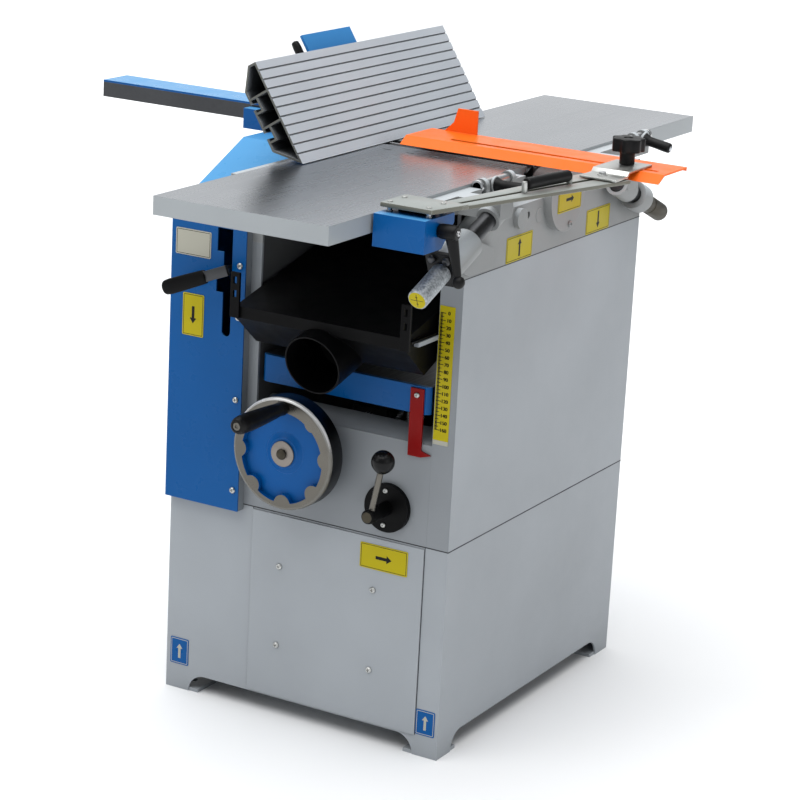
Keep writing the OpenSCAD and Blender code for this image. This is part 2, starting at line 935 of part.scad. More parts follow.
module depth_scale() color(yellow)
  box([open_x1 + cut, front_y - plate_thin, head_z - scale_drop - scale_l],
    [open_x1 + cut + scale_w, front_y, head_z - scale_drop]);

module thickness_table() color(steel)
  difference() {
    union() {
      box([thick_x0, beam_y + beam_t, thick_top - thick_plate], [thick_x1, -beam_y - beam_t, thick_top]);
      for (x = [thick_x0, thick_x1 - rib_t])
        box([x, beam_y + beam_t, thick_top - beam_h], [x + rib_t, -beam_y - beam_t, thick_top]);
      for (y = [-cab_d / 5, cab_d / 5])
        box([thick_x0, y - rib_t / 2, thick_top - beam_h], [thick_x1, y + rib_t / 2, thick_top]);
      zrod(guide_d + 2 * sleeve_wall, thick_top - thick_plate - sleeve_l, thick_top, guide_x, 0);
      zrod(screw_d + 2 * nut_wall, thick_top - thick_plate - sleeve_l, thick_top, wheel_x, 0);
    }
    zrod(guide_d + 2 * run_fit, 0, thick_top - thick_plate / 2, guide_x, 0);
    zrod(screw_d + 2 * run_fit, 0, thick_top - thick_plate / 2, wheel_x, 0);
  }

module table_beam(y)
  difference() {
    box([thick_x0, y, thick_top - beam_h], [thick_x1, y + beam_t, thick_top]);
    for (x = [thick_x0, thick_x1])
      translate([x, y < 0 ? y : y + beam_t, thick_top - beam_h - cut])
        rotate([0, 0, 45])
          translate([-beam_t / 2, -beam_t / 2, 0])
            cube([beam_t, beam_t, beam_h + 2 * cut]);
  }

module table_beams() color(blue) {
  table_beam(beam_y);
  table_beam(-beam_y - beam_t);
}

pointer_t = 3;
pointer_inset = 18;
pointer_x = thick_x1 - pointer_inset;
tip_h = 9;

module depth_pointer() color([0.6, 0.08, 0.08])
  along_y(beam_y - pointer_t, beam_y)
    polygon([[pointer_x - pointer_w / 2, thick_top - pointer_t],
      [pointer_x - pointer_w / 2, thick_top - pointer_l], [pointer_x + pointer_w / 2, thick_top - pointer_l],
      [open_x1, thick_top - pointer_l + tip_h / 2],
      [pointer_x + pointer_w / 2, thick_top - pointer_l + tip_h],
      [pointer_x + pointer_w / 2, thick_top - pointer_t]]);

module lift_bridge() color(light) {
  difference() {
    union() {
      box([open_x0, -bridge_d / 2, base_h], [open_x1, bridge_d / 2, base_h + bridge_t]);
      zrod(guide_d, base_h, guide_top, guide_x, 0);
      box([wheel_x - post_t * 2, -bridge_d / 2, base_h],
        [wheel_x + post_t * 2, post_t - bridge_d / 2, wheel_z + post_t]);
    }
    zrod(screw_d + 2 * run_fit, base_h + screw_seat, base_h + bridge_t + cut, wheel_x, 0);
    yrod(shaft_d + 2 * run_fit, -bridge_d, -bridge_d / 2 + 2 * post_t, wheel_x, wheel_z);
  }
}

crown_z = wheel_z - pinion_d / 2 - slide_fit;

module lift_screw() color(steel) {
  zrod(screw_d, base_h + screw_seat + slide_fit, screw_top, wheel_x, 0);
  zrod(crown_d, crown_z - crown_t, crown_z, wheel_x, 0);
}

// Handwheel
module handwheel_shaft() color(steel) {
  yrod(shaft_d, wheel_y + web_t, -crown_d / 2, wheel_x, wheel_z);
  yrod(pinion_d, -crown_d / 2 - pinion_t / 2, -crown_d / 2 + pinion_t / 2, wheel_x, wheel_z);
}

web_d = wheel_d - 2 * rim_t;
bay_share = 0.814;
lobe_share = 0.158;
lobe_at_share = 0.442;
pocket_drop = 5;
lobe_turn = 87;
pin_a = 1;
crank_in = 14;
crank_r = wheel_d / 2 - crank_in;

// Pocket in the wheel's face, with lobes between its bays
module wheel_pocket(y0, y1)
  translate([wheel_x, 0, wheel_z - pocket_drop])
    difference() {
      yrod(wheel_d * bay_share, y0, y1, 0, 0);
      for (i = [0 : scallops - 1])
        rotate([0, 360 * i / scallops + lobe_turn, 0])
          yrod(wheel_d * lobe_share, y0 - cut, y1 + cut, wheel_d * lobe_at_share, 0);
    }

module handwheel_rim() color([0.75, 0.76, 0.78])
  difference() {
    yrod(wheel_d, wheel_y, wheel_y + rim_w, wheel_x, wheel_z);
    yrod(web_d, wheel_y + rim_t, wheel_y + rim_w + cut, wheel_x, wheel_z);
    wheel_pocket(wheel_y - cut, wheel_y + rim_t + cut);
    translate([wheel_x, 0, wheel_z])
      rotate([0, -pin_a, 0])
        yrod(grip_neck + 2 * run_fit, wheel_y - cut, wheel_y + rim_t + cut, 0, crank_r);
  }

module handwheel_web() color(blue)
  difference() {
    union() {
      yrod(web_d, wheel_y + rim_t, wheel_y + rim_t + web_t, wheel_x, wheel_z);
      yrod(hub_d, wheel_y + rim_t / 2, front_y - slide_fit, wheel_x, wheel_z);
    }
    yrod(shaft_d, wheel_y + web_t, front_y, wheel_x, wheel_z);
  }

module handwheel_grip() color(black)
  translate([wheel_x, 0, wheel_z])
    rotate([0, -pin_a, 0])
      translate([0, wheel_y, crank_r])
        rotate([90, 0, 0])
          rotate_extrude()
            polygon([[0, slide_fit - rim_t], [grip_neck / 2, slide_fit - rim_t], [grip_neck / 2, slide_fit],
              [grip_d * 0.36, slide_fit], [grip_d / 2, grip_l * 0.35], [grip_d / 2, grip_l * 0.9],
              [grip_d * 0.42, grip_l], [0, grip_l]]);

module clamp_flange() color(light)
  difference() {
    yrod(flange_d, front_y - flange_t, front_y, clamp_x, clamp_z);
    yrod(clamp_hub / 2 + 2 * run_fit, front_y - flange_t - cut, front_y + cut, clamp_x, clamp_z);
  }

module clamp_lever() color(black) {
  end_y = front_y - clamp_reach;
  mid_y = end_y + clamp_hub / 2;
  yrod(clamp_hub, end_y, front_y - flange_t - slide_fit, clamp_x, clamp_z);
  yrod(clamp_hub / 2, end_y, front_y + clamp_hub, clamp_x, clamp_z);
  translate([clamp_x, mid_y, clamp_z])
    rotate([0, rod_lean, 0]) {
      cylinder(d = clamp_rod, h = rod_l);
      translate([0, 0, rod_l])
        sphere(d = ball_d);
    }
}

// Chip hood
hood_outer = [[hood_lip_y, lip_z - lip_h2], [hood_low_y, hood_low_z], [mouth_back, mouth_back_z],
  [mouth_back, mouth_z], [mouth_front, mouth_z], [hood_top_y, hood_top_z], [hood_lip_y, lip_z]];
hood_inner = [[hood_lip_y + hood_t, lip_z - lip_h2 + hood_t / 2], [hood_low_y, hood_low_z + hood_t * 1.2],
  [mouth_back - hood_t, mouth_back_z + hood_t], [mouth_back - hood_t, mouth_z + cut],
  [mouth_front + hood_t, mouth_z + cut], [hood_top_y + hood_t, hood_top_z - hood_t],
  [hood_lip_y + hood_t, lip_z - hood_t]];
port_x = (hood_x0 + hood_x1) / 2;

module port_tube(d, y_end)
  intersection() {
    translate([port_x, port_y, port_z])
      rotate([port_tilt - 90, 0, 0])
        translate([0, 0, d == port_d ? 0 : -port_d])
          cylinder(d = d, h = 4 * port_d);
    box([hood_x0, port_y - 2 * port_d, 0], [hood_x1, y_end, head_z]);
  }

module chip_hood() color(black) {
  difference() {
    union() {
      along_x(hood_x0, hood_x1)
        polygon(hood_outer);
      port_tube(port_d, port_back_y);
    }
    along_x(hood_x0 + hood_t, hood_x1 - hood_t)
      polygon(hood_inner);
    port_tube(port_d - 2 * hood_t, port_back_y - hood_t);
  }
  for (x = [[hood_x0 - hood_gap + cut, hood_x0 + hood_t / 2],
      [hood_x1 - hood_t / 2, hood_x1 + hood_gap - cut]])
    box([x[0], hood_lip_y + 2 * hood_t, rail_z + slide_fit],
      [x[1], runner_y1, rail_z + slide_fit + runner_h]);
}

module hood_straps() color(black)
  for (x = [hood_x0, hood_x1])
    difference() {
      box([x - strap_w / 2, hood_lip_y - strap_t, lip_z - lip_h2],
        [x + strap_w / 2, hood_lip_y, lip_z - lip_h2 + strap_h]);
      for (z = [strap_h * 0.45, strap_h * 0.75])
        box([x - strap_w / 5, hood_lip_y - strap_t - cut, lip_z - lip_h2 + z],
          [x + strap_w / 5, hood_lip_y + cut, lip_z - lip_h2 + z + strap_w * 0.7]);
    }

// Planer tables
module planer_table(y0, y1, lip)
  difference() {
    box([table_x0, y0, table_low], [table_x1, y1, table_top]);
    for (i = [0 : 2], j = [0 : 3]) {
      w = (table_w - 4 * rib_t) / 3;
      l = (y1 - y0 - 2 * lip_y - 3 * rib_t) / 4;
      x = table_x0 + rib_t + i * (w + rib_t);
      y = y0 + lip_y + j * (l + rib_t);
      box([x, y, table_low - cut], [x + w, y + l, table_top - plate_t]);
    }
    for (i = [0 : lip_slots - 1])
      translate([table_x0 + table_w * (i + 0.5) / lip_slots, lip, 0])
        box([-lip_w / 2, -lip_h / 2, table_low - cut], [lip_w / 2, lip_h / 2, table_top + cut]);
    xrod(circle_d + 2 * lip_clear, table_x0 - cut, table_x1 + cut, 0, cutter_z);
  }

module infeed_table() color(steel) planer_table(infeed_y0, -mouth_y, -lip_y);
module outfeed_table() color(steel) planer_table(mouth_y, outfeed_y1, lip_y);

// Local frame with +Y up the adjusting shaft
module on_infeed_slope()
  translate([adj_x, -infeed_adj_y, infeed_adj_z])
    rotate([adj_slope, 0, 0])
      children();

module on_outfeed_slope()
  mirror([0, 1, 0])
    translate([adj_x, -outfeed_adj_y, outfeed_adj_z])
      rotate([adj_slope, 0, 0])
        children();

function slope_y(y, t) = y - t * cos(adj_slope);
function slope_z(z, t) = z + t * sin(adj_slope);

module cheek_plates(s, lugs)
  for (side = [table_x0 - cheek_w, table_x1])
    difference() {
      union() {
        box([side, min(s * cheek_y0, s * cheek_y1), cheek_low],
          [side + cheek_w, max(s * cheek_y0, s * cheek_y1), cheek_top]);
        if (side == table_x1)
          for (y = lugs)
            union() {
              box([side, y - lug_l / 2, cheek_low], [side + cheek_w, y + lug_l / 2, cam_z]);
              yrod(cheek_w, y - lug_l / 2, y + lug_l / 2, cam_x, cam_z);
            }
      }
      if (side == table_x1) {
        yrod(cam_d + 2 * run_fit, min(lugs) - lug_l * 2, max(lugs) + lug_l * 2, cam_x, cam_z);
        for (y = [[min(lugs) - 2 * lug_l, min(lugs) - lug_l / 2],
            [min(lugs) + lug_l / 2, max(lugs) - lug_l / 2]])
          box([side - cut, y[0], cam_z - cam_d], [side + cheek_w + cut, y[1], cam_z + 2 * cam_d]);
      }
    }

// Bush on the table with the arm that carries it past the head plate
module table_bush(y_mid, z_mid, s)
  difference() {
    union() {
      box([table_x1 + cheek_w - cut, s * y_mid - nut_d / 2, arm_z0],
        [adj_x, s * y_mid + nut_d / 2, cheek_top]);
      box([cab_x1 + 4 * cut, s * y_mid - nut_d / 2, min(z_mid, arm_z0)],
        [adj_x + nut_d / 2, s * y_mid + nut_d / 2, max(cheek_top, z_mid)]);
      children(0);
    }
    children(1);
  }

in_nut_mid = nut_lo + nut_l / 2;
out_nut_mid = out_nut_lo + nut_l / 2;

module nut_body(lo)
  yrod(nut_d, lo, lo + nut_l);

module nut_bore(lo)
  yrod(adj_d + 2 * run_fit, lo - nut_l, lo + 2 * nut_l);

module infeed_cheeks() color(light) {
  cheek_plates(-1, [infeed_lug_y, infeed_lug2_y]);
  table_bush(slope_y(infeed_adj_y, in_nut_mid), slope_z(infeed_adj_z, in_nut_mid), -1) {
    on_infeed_slope() nut_body(nut_lo);
    on_infeed_slope() nut_bore(nut_lo);
  }
}

module outfeed_cheeks() color(light) {
  cheek_plates(1, [outfeed_lug2_y, outfeed_lug_y]);
  table_bush(slope_y(outfeed_adj_y, out_nut_mid), slope_z(outfeed_adj_z, out_nut_mid), 1) {
    on_outfeed_slope() nut_body(out_nut_lo);
    on_outfeed_slope() nut_bore(out_nut_lo);
  }
}

module table_lock(y_disc, y_end, y_grip, lift) color(black) {
  yrod(cam_d, min(y_disc, y_end), max(y_disc, y_end), cam_x, cam_z);
  disc_end = y_disc + sign(y_disc) * cam_disc_t;
  yrod(cam_disc, min(y_disc, disc_end), max(y_disc, disc_end), cam_x, cam_z);
  translate([cam_x, y_grip, cam_z])
    rotate([0, 90 - lift, 0])
      cylinder(d = lock_grip_d, h = cam_d / 2 + lock_grip_l);
}

lock_lift = -10;

module infeed_lock() table_lock(infeed_lug_y - lug_l, infeed_lug2_y + lug_l, infeed_grip_y, 0);
module outfeed_lock() table_lock(outfeed_lug_y + lug_l, outfeed_lug2_y - lug_l, outfeed_grip_y, lock_lift);

module fixed_bush(lo, len, collared) {
  difference() {
    union() {
      yrod(bush_d, lo, lo + len);
      box([cab_x1 - adj_x + bush_plate / 2, lo, -bush_plate / 2], [0, lo + len, bush_plate / 2]);
      if (collared) {
        box([-collar_w / 2, lo - collar_t, -bush_d / 2], [collar_w / 2, lo, collar_h]);
        for (x = [-collar_w / 4, collar_w / 4])
          translate([x, lo - collar_t, collar_h - collar_t])
            rotate([90, 0, 0])
              hexbolt(screw_head, screw_h);
      }
    }
    yrod(adj_d + 2 * run_fit, lo - 2 * len, lo + 3 * len);
  }
}

// Gusset that carries the infeed bush in front of the head plate
module infeed_bush() color(light) {
  tip_y = -slope_y(infeed_adj_y, bush_lo / 2);
  tip_z = slope_z(infeed_adj_z, bush_lo / 2);
  top_y = -slope_y(infeed_adj_y, bush_lo + bush_l);
  top_z = slope_z(infeed_adj_z, bush_lo + bush_l);
  on_infeed_slope()
    fixed_bush(bush_lo, bush_l, true);
  along_x(cab_x1, cab_x1 + bush_plate)
    polygon([[tip_y, tip_z - bush_d / 4], [front_y, head_z + gusset_low],
      [front_y + gusset_reach, head_z + gusset_low], [front_y + gusset_reach, head_z + gusset_high],
      [top_y, top_z + bush_d / 4], [tip_y, tip_z + bush_d / 4]]);
}

module outfeed_bush() color(light) on_outfeed_slope() {
  fixed_bush(out_bush_lo, out_bush_l, false);
  box([cab_x1 - adj_x, out_bush_lo + cut, -bush_d / 2 - cut],
    [cab_x1 - adj_x + bush_plate, out_bush_lo + out_bush_l - cut, bush_d / 2 + cut]);
}

module adjuster(lo, hi, k) {
  yrod(adj_d, lo - k / 2, hi);
  yrod(knob_d, lo - k, lo - slide_fit);
}

module infeed_adjuster() color(alloy) on_infeed_slope()
  adjuster(bush_lo - collar_t, nut_lo + nut_l + cap_t, knob_l);

module outfeed_adjuster() color([0.2, 0.18, 0.16]) on_outfeed_slope()
  adjuster(out_bush_lo, out_nut_lo + nut_l + cap_t, out_knob_l);

// Fence
module fence_holder() color(blue)
  difference() {
    union() {
      box([holder_x0, bar_y0 - holder_wall, cover_top],
        [holder_x1, bar_y0 + bar_w + holder_wall, bar_z0 + bar_h * 0.85]);
      box([holder_x1 - cut, bar_y0, cover_top],
        [cab_x0 - holder_wall, bar_y0 + bar_w, cover_top + holder_foot]);
    }
    box([holder_x0 - cut, bar_y0 - slide_fit, bar_z0 - slide_fit],
      [holder_x1 + cut, bar_y0 + bar_w + slide_fit, bar_z0 + 2 * bar_h]);
  }

module fence_bar() color([0.25, 0.25, 0.26])
  box([bar_x0, bar_y0, bar_z0], [bar_x1, bar_y0 + bar_w, bar_z0 + bar_h]);

module fence_cover() color(blue)
  box([bar_x0, bar_y0, bar_z0 + bar_h], [bar_x1, bar_y0 + bar_w, bar_top]);

arc_x = edge_x - arc_r * sin(arc_fix);
arc_z = edge_z + arc_r * cos(arc_fix);
saddle_ys = [tilt_y0 + ear_t + saddle_gap, tilt_y0 + tilt_l - ear_t - saddle_gap - saddle_t];
bar_top = bar_z0 + bar_h + rear_guard_t;

module fence_saddle() color(light) {
  box([saddle_x0, saddle_ys[0], bar_top], [bar_x1, saddle_ys[1] + saddle_t, bar_top + saddle_plate]);
  for (y = saddle_ys)
    along_y(y, y + saddle_t)
      polygon([[saddle_x0, bar_top], [bar_x1, bar_top], [arc_x + pin_d, arc_z], [arc_x, arc_z + pin_d],
        [arc_x - pin_d, arc_z]]);
  yrod(pin_d, tilt_y0 - 4 * ear_t, saddle_ys[0] + saddle_t, arc_x, arc_z);
  yrod(pin_d, saddle_ys[1], tilt_y0 + tilt_l + 2 * ear_t, arc_x, arc_z);
}

// Clamping lever on the near pin
module fence_lever() color(black) {
  hub_y1 = tilt_y0 - slide_fit;
  hub_y0 = tilt_y0 - 3 * ear_t;
  difference() {
    yrod(3 * pin_d, hub_y0, hub_y1, arc_x, arc_z);
    yrod(pin_d + 2 * run_fit, hub_y0 - cut, hub_y1 + cut, arc_x, arc_z);
  }
  translate([arc_x, (hub_y0 + hub_y1) / 2, arc_z])
    rotate([0, -fence_tilt, 0]) {
      translate([0, 0, pin_d])
        cylinder(d = lever_rod, h = lever_l);
      translate([0, 0, lever_l / 2])
        cylinder(d = lever_grip - cut, h = lever_l);
    }
}

// Frame at the fence's lower edge: X behind the face reversed, Z up the face
module on_fence()
  translate([edge_x, 0, edge_z])
    rotate([0, -fence_tilt, 0])
      children();

ear_steps = 16;
arc_facets = 240;
ear_over = 4;
slot_over = 1.7;
ear_a0 = arc_fix - fence_tilt - ear_over;
ear_a1 = arc_fix + ear_over;
slot_a0 = arc_fix - fence_tilt - slot_over;
slot_a1 = arc_fix + slot_over;
function arc_points(r, a, b) = [for (i = [0 : ear_steps])
  let (t = a + (b - a) * i / ear_steps) [-r * sin(t), r * cos(t)]];

// Curved slot about the fence's lower edge
module arc_slot()
  intersection() {
    difference() {
      circle(r = arc_r + arc_half, $fn = arc_facets);
      circle(r = arc_r - arc_half, $fn = arc_facets);
    }
    polygon(concat([[0, 0]], arc_points(2 * arc_r, slot_a0, slot_a1)));
  }

module fence_tilt_plate() color(blue)
  on_fence() {
    box([-fence_d - tilt_t, tilt_y0, tilt_low], [-fence_d, tilt_y0 + tilt_l, tilt_top]);
    for (y = [tilt_y0, tilt_y0 + tilt_l - ear_t])
      along_y(y, y + ear_t)
        difference() {
          polygon(concat([[-fence_d - tilt_t / 2, tilt_low], [-fence_d - tilt_t / 2, fence_h * 0.94]],
            arc_points(arc_r + arc_band, ear_a0, ear_a1),
            [arc_points(arc_r - arc_band, ear_a0, ear_a1)[ear_steps]]));
          arc_slot();
        }
  }

fence_shares = [[0, 0], [0, 1], [0.37, 1.003], [1, 0.814], [1, 0.224], [0.14, 0.033]];
fence_outline = [for (s = fence_shares) [-fence_d * s[0], fence_h * s[1]]];
// Rounded lower edge that the fence turns about
bead_d = 0.8;
tee_shares = [0.375, 0.658];
tee_w = 18;
tee_depth = 9;
tee_mouth = 9;
groove_w2 = 2.4;
groove_d = 1.8;

module fence_section()
  difference() {
    union() {
      circle(d = bead_d);
      difference() {
        polygon(fence_outline);
        polygon(inset(fence_outline, fence_wall));
      }
      intersection() {
        polygon(fence_outline);
        for (s = tee_shares) {
          translate([-fence_d - fence_wall, fence_h * s - tee_w / 2 - fence_wall])
            square([tee_depth + 3 * fence_wall, tee_w + 2 * fence_wall]);
          translate([-fence_d, fence_h * s + tee_w / 2])
            square([fence_d, fence_wall]);
        }
      }
    }
    for (s = tee_shares) {
      translate([-fence_d + fence_wall, fence_h * s - tee_w / 2])
        square([tee_depth, tee_w]);
      translate([-fence_d - fence_wall, fence_h * s - tee_mouth / 2])
        square([3 * fence_wall, tee_mouth]);
    }
    for (i = [1 : grooves])
      translate([-groove_d, fence_h * i / (grooves + 1)])
        square([2 * groove_d, groove_w2]);
  }

module fence_profile() color(alloy)
  on_fence()
    along_y(fence_y0, fence_y0 + fence_l)
      fence_section();

// Bridge guard
module guard_shaft() color(steel)
  xrod(pivot_d, table_x1, hang_x, pivot_cy, pivot_cz);

module guard_pivot() color(blue)
  difference() {
    box([pivot_x0, pivot_y0, pivot_z1 - pivot_h], [pivot_x1, pivot_y0 + pivot_l, pivot_z1]);
    xrod(pivot_d + 2 * run_fit, pivot_x0 - cut, pivot_x1 + cut, pivot_cy, pivot_cz);
    translate([pivot_x0 - cut, pivot_y0 + pivot_l, pivot_z1 - pivot_h])
      rotate([45, 0, 0])
        translate([0, -pivot_h / 2, -pivot_h / 2])
          cube([pivot_w + 2 * cut, pivot_h, pivot_h]);
  }

module guard_clamp_lever() color(black) {
  difference() {
    xrod(hang_hub, pivot_x1 + slide_fit, hang_x + hang_rod, pivot_cy, pivot_cz);
    xrod(pivot_d + 2 * run_fit, pivot_x1, hang_x + slide_fit, pivot_cy, pivot_cz);
  }
  translate([hang_x + hang_rod / 2, pivot_cy, pivot_cz])
    rotate([180 + hang_lean, 0, 0]) {
      translate([0, 0, (pivot_d + hang_hub) / 4])
        cylinder(d = hang_rod, h = hang_l - hang_hub / 2);
      translate([0, 0, hang_l])
        sphere(d = hang_ball);
    }
}

module guard_arm() color(light) {
  translate([0, 0, arm_z])
    linear_extrude(arm_t)
      difference() {
        polygon([[pivot_x0, arm_plate_y0], [pivot_x1, arm_plate_y0], [arm_far_x1, arm_far_y],
          [arm_far_x0, arm_far_y], [pivot_x1 - pivot_w / 4, arm_plate_y1], [pivot_x0, arm_plate_y1]]);
        arm_slot();
      }
  for (x = [pivot_x0 + spacer_d, pivot_x1 - spacer_d])
    for (y = [arm_plate_y0 + spacer_d, arm_plate_y1 - 2 * spacer_d])
      zrod(spacer_d, pivot_z1, arm_z + arm_t + screw_h, x, y);
}

// Gap between the two bars of the arm
module arm_slot() {
  y0 = arm_plate_y1 + arm_slot_w;
  y1 = arm_far_y - clamp_front;
  polygon([[arm_mid(y0) - arm_slot_w / 2, y0], [arm_mid(y0) + arm_slot_w / 2, y0],
    [arm_mid(y1) + arm_slot_w / 2, y1], [arm_mid(y1) - arm_slot_w / 2, y1]]);
}

// Grip rail along the middle of the arm
function arm_mid(y) = (pivot_x1 + arm_far_x0) / 2
  + (arm_far_x1 - pivot_x1) * (y - arm_plate_y1) / (arm_far_y - arm_plate_y1) / 2;

module arm_grip() color(black) {
  top = arm_z + arm_t;
  a = [arm_mid(grip_y0), grip_y0, top + grip_rise];
  b = [arm_mid(grip_y1), grip_y1, top + grip_rise];
  for (p = [a, b])
    zrod(stud_d, top, top + grip_rise + stud_d / 2, p[0], p[1]);
  translate(a)
    rotate([-90, 0, -atan2(b[0] - a[0], b[1] - a[1])])
      cylinder(d = handle_d, h = norm(b - a));
}

clamp_back = 12;
clamp_front = 36;

module guard_bracket() color(light)
  difference() {
    union() {
      box([clamp_x0, arm_far_y - clamp_front, guard_z + slide_fit],
        [clamp_x1, star_y + 2 * clamp_back, guard_z + slide_fit + clamp_t]);
      box([clamp_x0, arm_far_y - clamp_front, arm_z + arm_t],
        [clamp_x1, arm_far_y, guard_z + slide_fit + clamp_t / 2]);
    }
    zrod(stud_d + 2 * run_fit, guard_z, guard_z + 2 * clamp_t, star_x, star_y);
  }

module guard_knob() color(black) {
  low = guard_z - guard_t - slide_fit;
  seat = guard_z + slide_fit + clamp_t + slide_fit;
  zrod(stud_head, low - clamp_t, low, star_x, star_y);
  zrod(stud_d, low - clamp_t, seat + stem_h / 2, star_x, star_y);
  zrod(stem_d, seat, seat + stem_h, star_x, star_y);
  zrod(star_d, seat + stem_h, seat + stem_h + star_t, star_x, star_y);
}

module bridge_guard() color([0.95, 0.42, 0.16])
  difference() {
    union() {
      box([guard_x0, guard_y0, guard_z - guard_t], [guard_x0 + guard_l, guard_y0 + guard_w, guard_z]);
      along_x(guard_x0, guard_x0 + guard_l)
        polygon([[guard_y0 + guard_t, guard_z], [guard_y0, guard_z],
          [guard_y0 - flange_y, guard_z - flange_h], [guard_y0 - flange_y + guard_t, guard_z - flange_h],
          [guard_y0 + guard_t, guard_z - guard_t]]);
      box([guard_x0, guard_y0 + guard_w - guard_t, guard_z - lip_d],
        [guard_x0 + guard_l, guard_y0 + guard_w, guard_z]);
      along_y(guard_y0 + guard_w - guard_t, guard_y0 + guard_w)
        polygon([[tab_x - tab_flare, guard_z - guard_t], [tab_x + tab_w, guard_z - guard_t],
          [tab_x + tab_w, guard_z + tab_h], [tab_x, guard_z + tab_h],
          [tab_x - tab_flare * 0.3, guard_z + tab_h * 0.4], [tab_x - tab_flare, guard_z]]);
    }
    box([guard_x0 + guard_l * 0.16, star_y - slot_w / 2, guard_z - lip_d],
      [guard_x0 + guard_l - slot_end, star_y + slot_w / 2, guard_z + cut]);
  }

base_frame();
base_panel();
label_plates();
cabinet_screws();
column_left();
column_right();
aprons();
head_left();
head_right();
bearing_cover();
cutter_bearings();
cutterblock();
cutter_knives();
infeed_roller();
outfeed_roller();
kickback_fingers();
motor();
motor_pulley();
drive_belt();
drive_cover();
feed_lever();
depth_scale();
thickness_table();
table_beams();
depth_pointer();
lift_bridge();
lift_screw();
handwheel_shaft();
handwheel_rim();
handwheel_web();
handwheel_grip();
clamp_flange();
clamp_lever();
chip_hood();
hood_straps();
infeed_table();
infeed_cheeks();
infeed_lock();
infeed_bush();
infeed_adjuster();
outfeed_table();
outfeed_cheeks();
outfeed_lock();
outfeed_bush();
outfeed_adjuster();
fence_holder();
fence_bar();
fence_cover();
fence_saddle();
fence_lever();
fence_tilt_plate();
fence_profile();
guard_shaft();
guard_pivot();
guard_clamp_lever();
guard_arm();
arm_grip();
guard_bracket();
guard_knob();
bridge_guard();
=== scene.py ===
# %% [markdown]
# # Dressing a combination planer thicknesser
# The machine planes boards on its two long upper tables and thicknesses them on a lower table inside the
# cabinet. Its solids come from a packed construction model, the frame, in metres and with every part in
# place. This lesson leaves those solids where they are, gives each one a finish made of nodes, and models
# the parts that a plain solid shows too simply: knobs, grips, levers, screws, scales and plates.

# %% Load the frame
import math

import bmesh
import bpy
from mathutils import Matrix, Vector


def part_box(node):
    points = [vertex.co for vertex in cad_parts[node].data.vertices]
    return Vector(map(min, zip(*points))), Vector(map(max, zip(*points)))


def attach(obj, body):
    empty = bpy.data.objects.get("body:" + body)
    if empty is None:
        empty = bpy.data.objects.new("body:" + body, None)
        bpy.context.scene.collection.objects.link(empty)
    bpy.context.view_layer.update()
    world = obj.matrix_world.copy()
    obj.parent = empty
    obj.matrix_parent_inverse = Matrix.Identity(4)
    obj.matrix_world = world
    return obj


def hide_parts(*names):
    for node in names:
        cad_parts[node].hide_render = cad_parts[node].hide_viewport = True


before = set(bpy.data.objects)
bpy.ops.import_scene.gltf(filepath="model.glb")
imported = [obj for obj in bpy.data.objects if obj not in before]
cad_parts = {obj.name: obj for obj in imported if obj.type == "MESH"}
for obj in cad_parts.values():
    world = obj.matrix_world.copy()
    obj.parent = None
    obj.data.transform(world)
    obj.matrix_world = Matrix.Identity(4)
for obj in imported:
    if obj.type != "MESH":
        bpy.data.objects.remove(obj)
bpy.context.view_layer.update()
MM = 0.001
UP, FRONT, BACK, RIGHT = (0, 0, 1), (0, -1, 0), (0, 1, 0), (1, 0, 0)

# %% [markdown]
# ## Camera
# A long lens stands in front of the machine, to its right and above it. The first three columns below are
# the directions of the camera's right side, its top and its back, and the last one is where it stands, so
# the matrix can be set in one go instead of aiming with rotations.

# %% Camera
FOCAL_LENGTH, SENSOR_WIDTH = 118.275, 36.0


def placed(name, data):
    """A new object in the scene."""
    item = bpy.data.objects.new(name, data)
    bpy.context.collection.objects.link(item)
    return item


lens = bpy.data.cameras.new("studio_camera")
lens.lens = FOCAL_LENGTH
lens.sensor_width = SENSOR_WIDTH
camera = placed("studio_camera", lens)
camera.matrix_world = Matrix((
    (0.8621069, -0.1820179, 0.4729071, 1.79698),
    (0.5042038, 0.2151244, -0.8363612, -3.19743),
    (0.0504988, 0.9594743, 0.2772343, 1.47106),
    (0.0, 0.0, 0.0, 1.0)))
bpy.context.scene.camera = camera
bpy.context.scene.view_settings.view_transform = "Standard"
print("camera stands", round(camera.location.length, 2), "m from the origin")

# %% [markdown]
# ## Floor and studio light
# A wide soft light from above, like an overcast sky, makes the tops bright and leaves the sides in even
# shade. Large lamps in front add highlights, and one behind the machine is there for the ground tables to
# mirror. The floor is a pale sheet that only catches the shadow.

# %% Floor and lamps
CABINET_MIDDLE, TABLE_MIDDLE, FLOOR_SIZE = (0.0, 0.0, 0.5), (0.0, 0.0, 0.8), 80.0


def soft_lamp(name, place, target, size, power):
    """A square lamp at one place that looks at another."""
    data = bpy.data.lights.new(name, "AREA")
    data.size = size
    data.energy = power
    lamp = placed(name, data)
    look = Vector(target) - Vector(place)
    lamp.rotation_euler = look.to_track_quat("-Z", "Y").to_euler()
    lamp.location = place


soft_lamp("key", (-2.4, -3.6, 2.6), CABINET_MIDDLE, 2.5, 20.0)
soft_lamp("fill", (4.0, -1.4, 2.0), CABINET_MIDDLE, 2.5, 16.0)
soft_lamp("backdrop", (-2.4, 4.2, 2.2), TABLE_MIDDLE, 4.5, 46.0)
daylight = bpy.data.lights.new("daylight", "SUN")
daylight.energy = 3.4
daylight.angle = math.radians(75)
placed("daylight", daylight).rotation_euler = (math.radians(8), math.radians(-4), 0.0)
world = bpy.data.worlds.new("studio")
bpy.context.scene.world = world
world.use_nodes = True
sky = world.node_tree.nodes["Background"]
sky.inputs["Color"].default_value = (0.94, 0.97, 1.0, 1.0)
sky.inputs["Strength"].default_value = 0.33

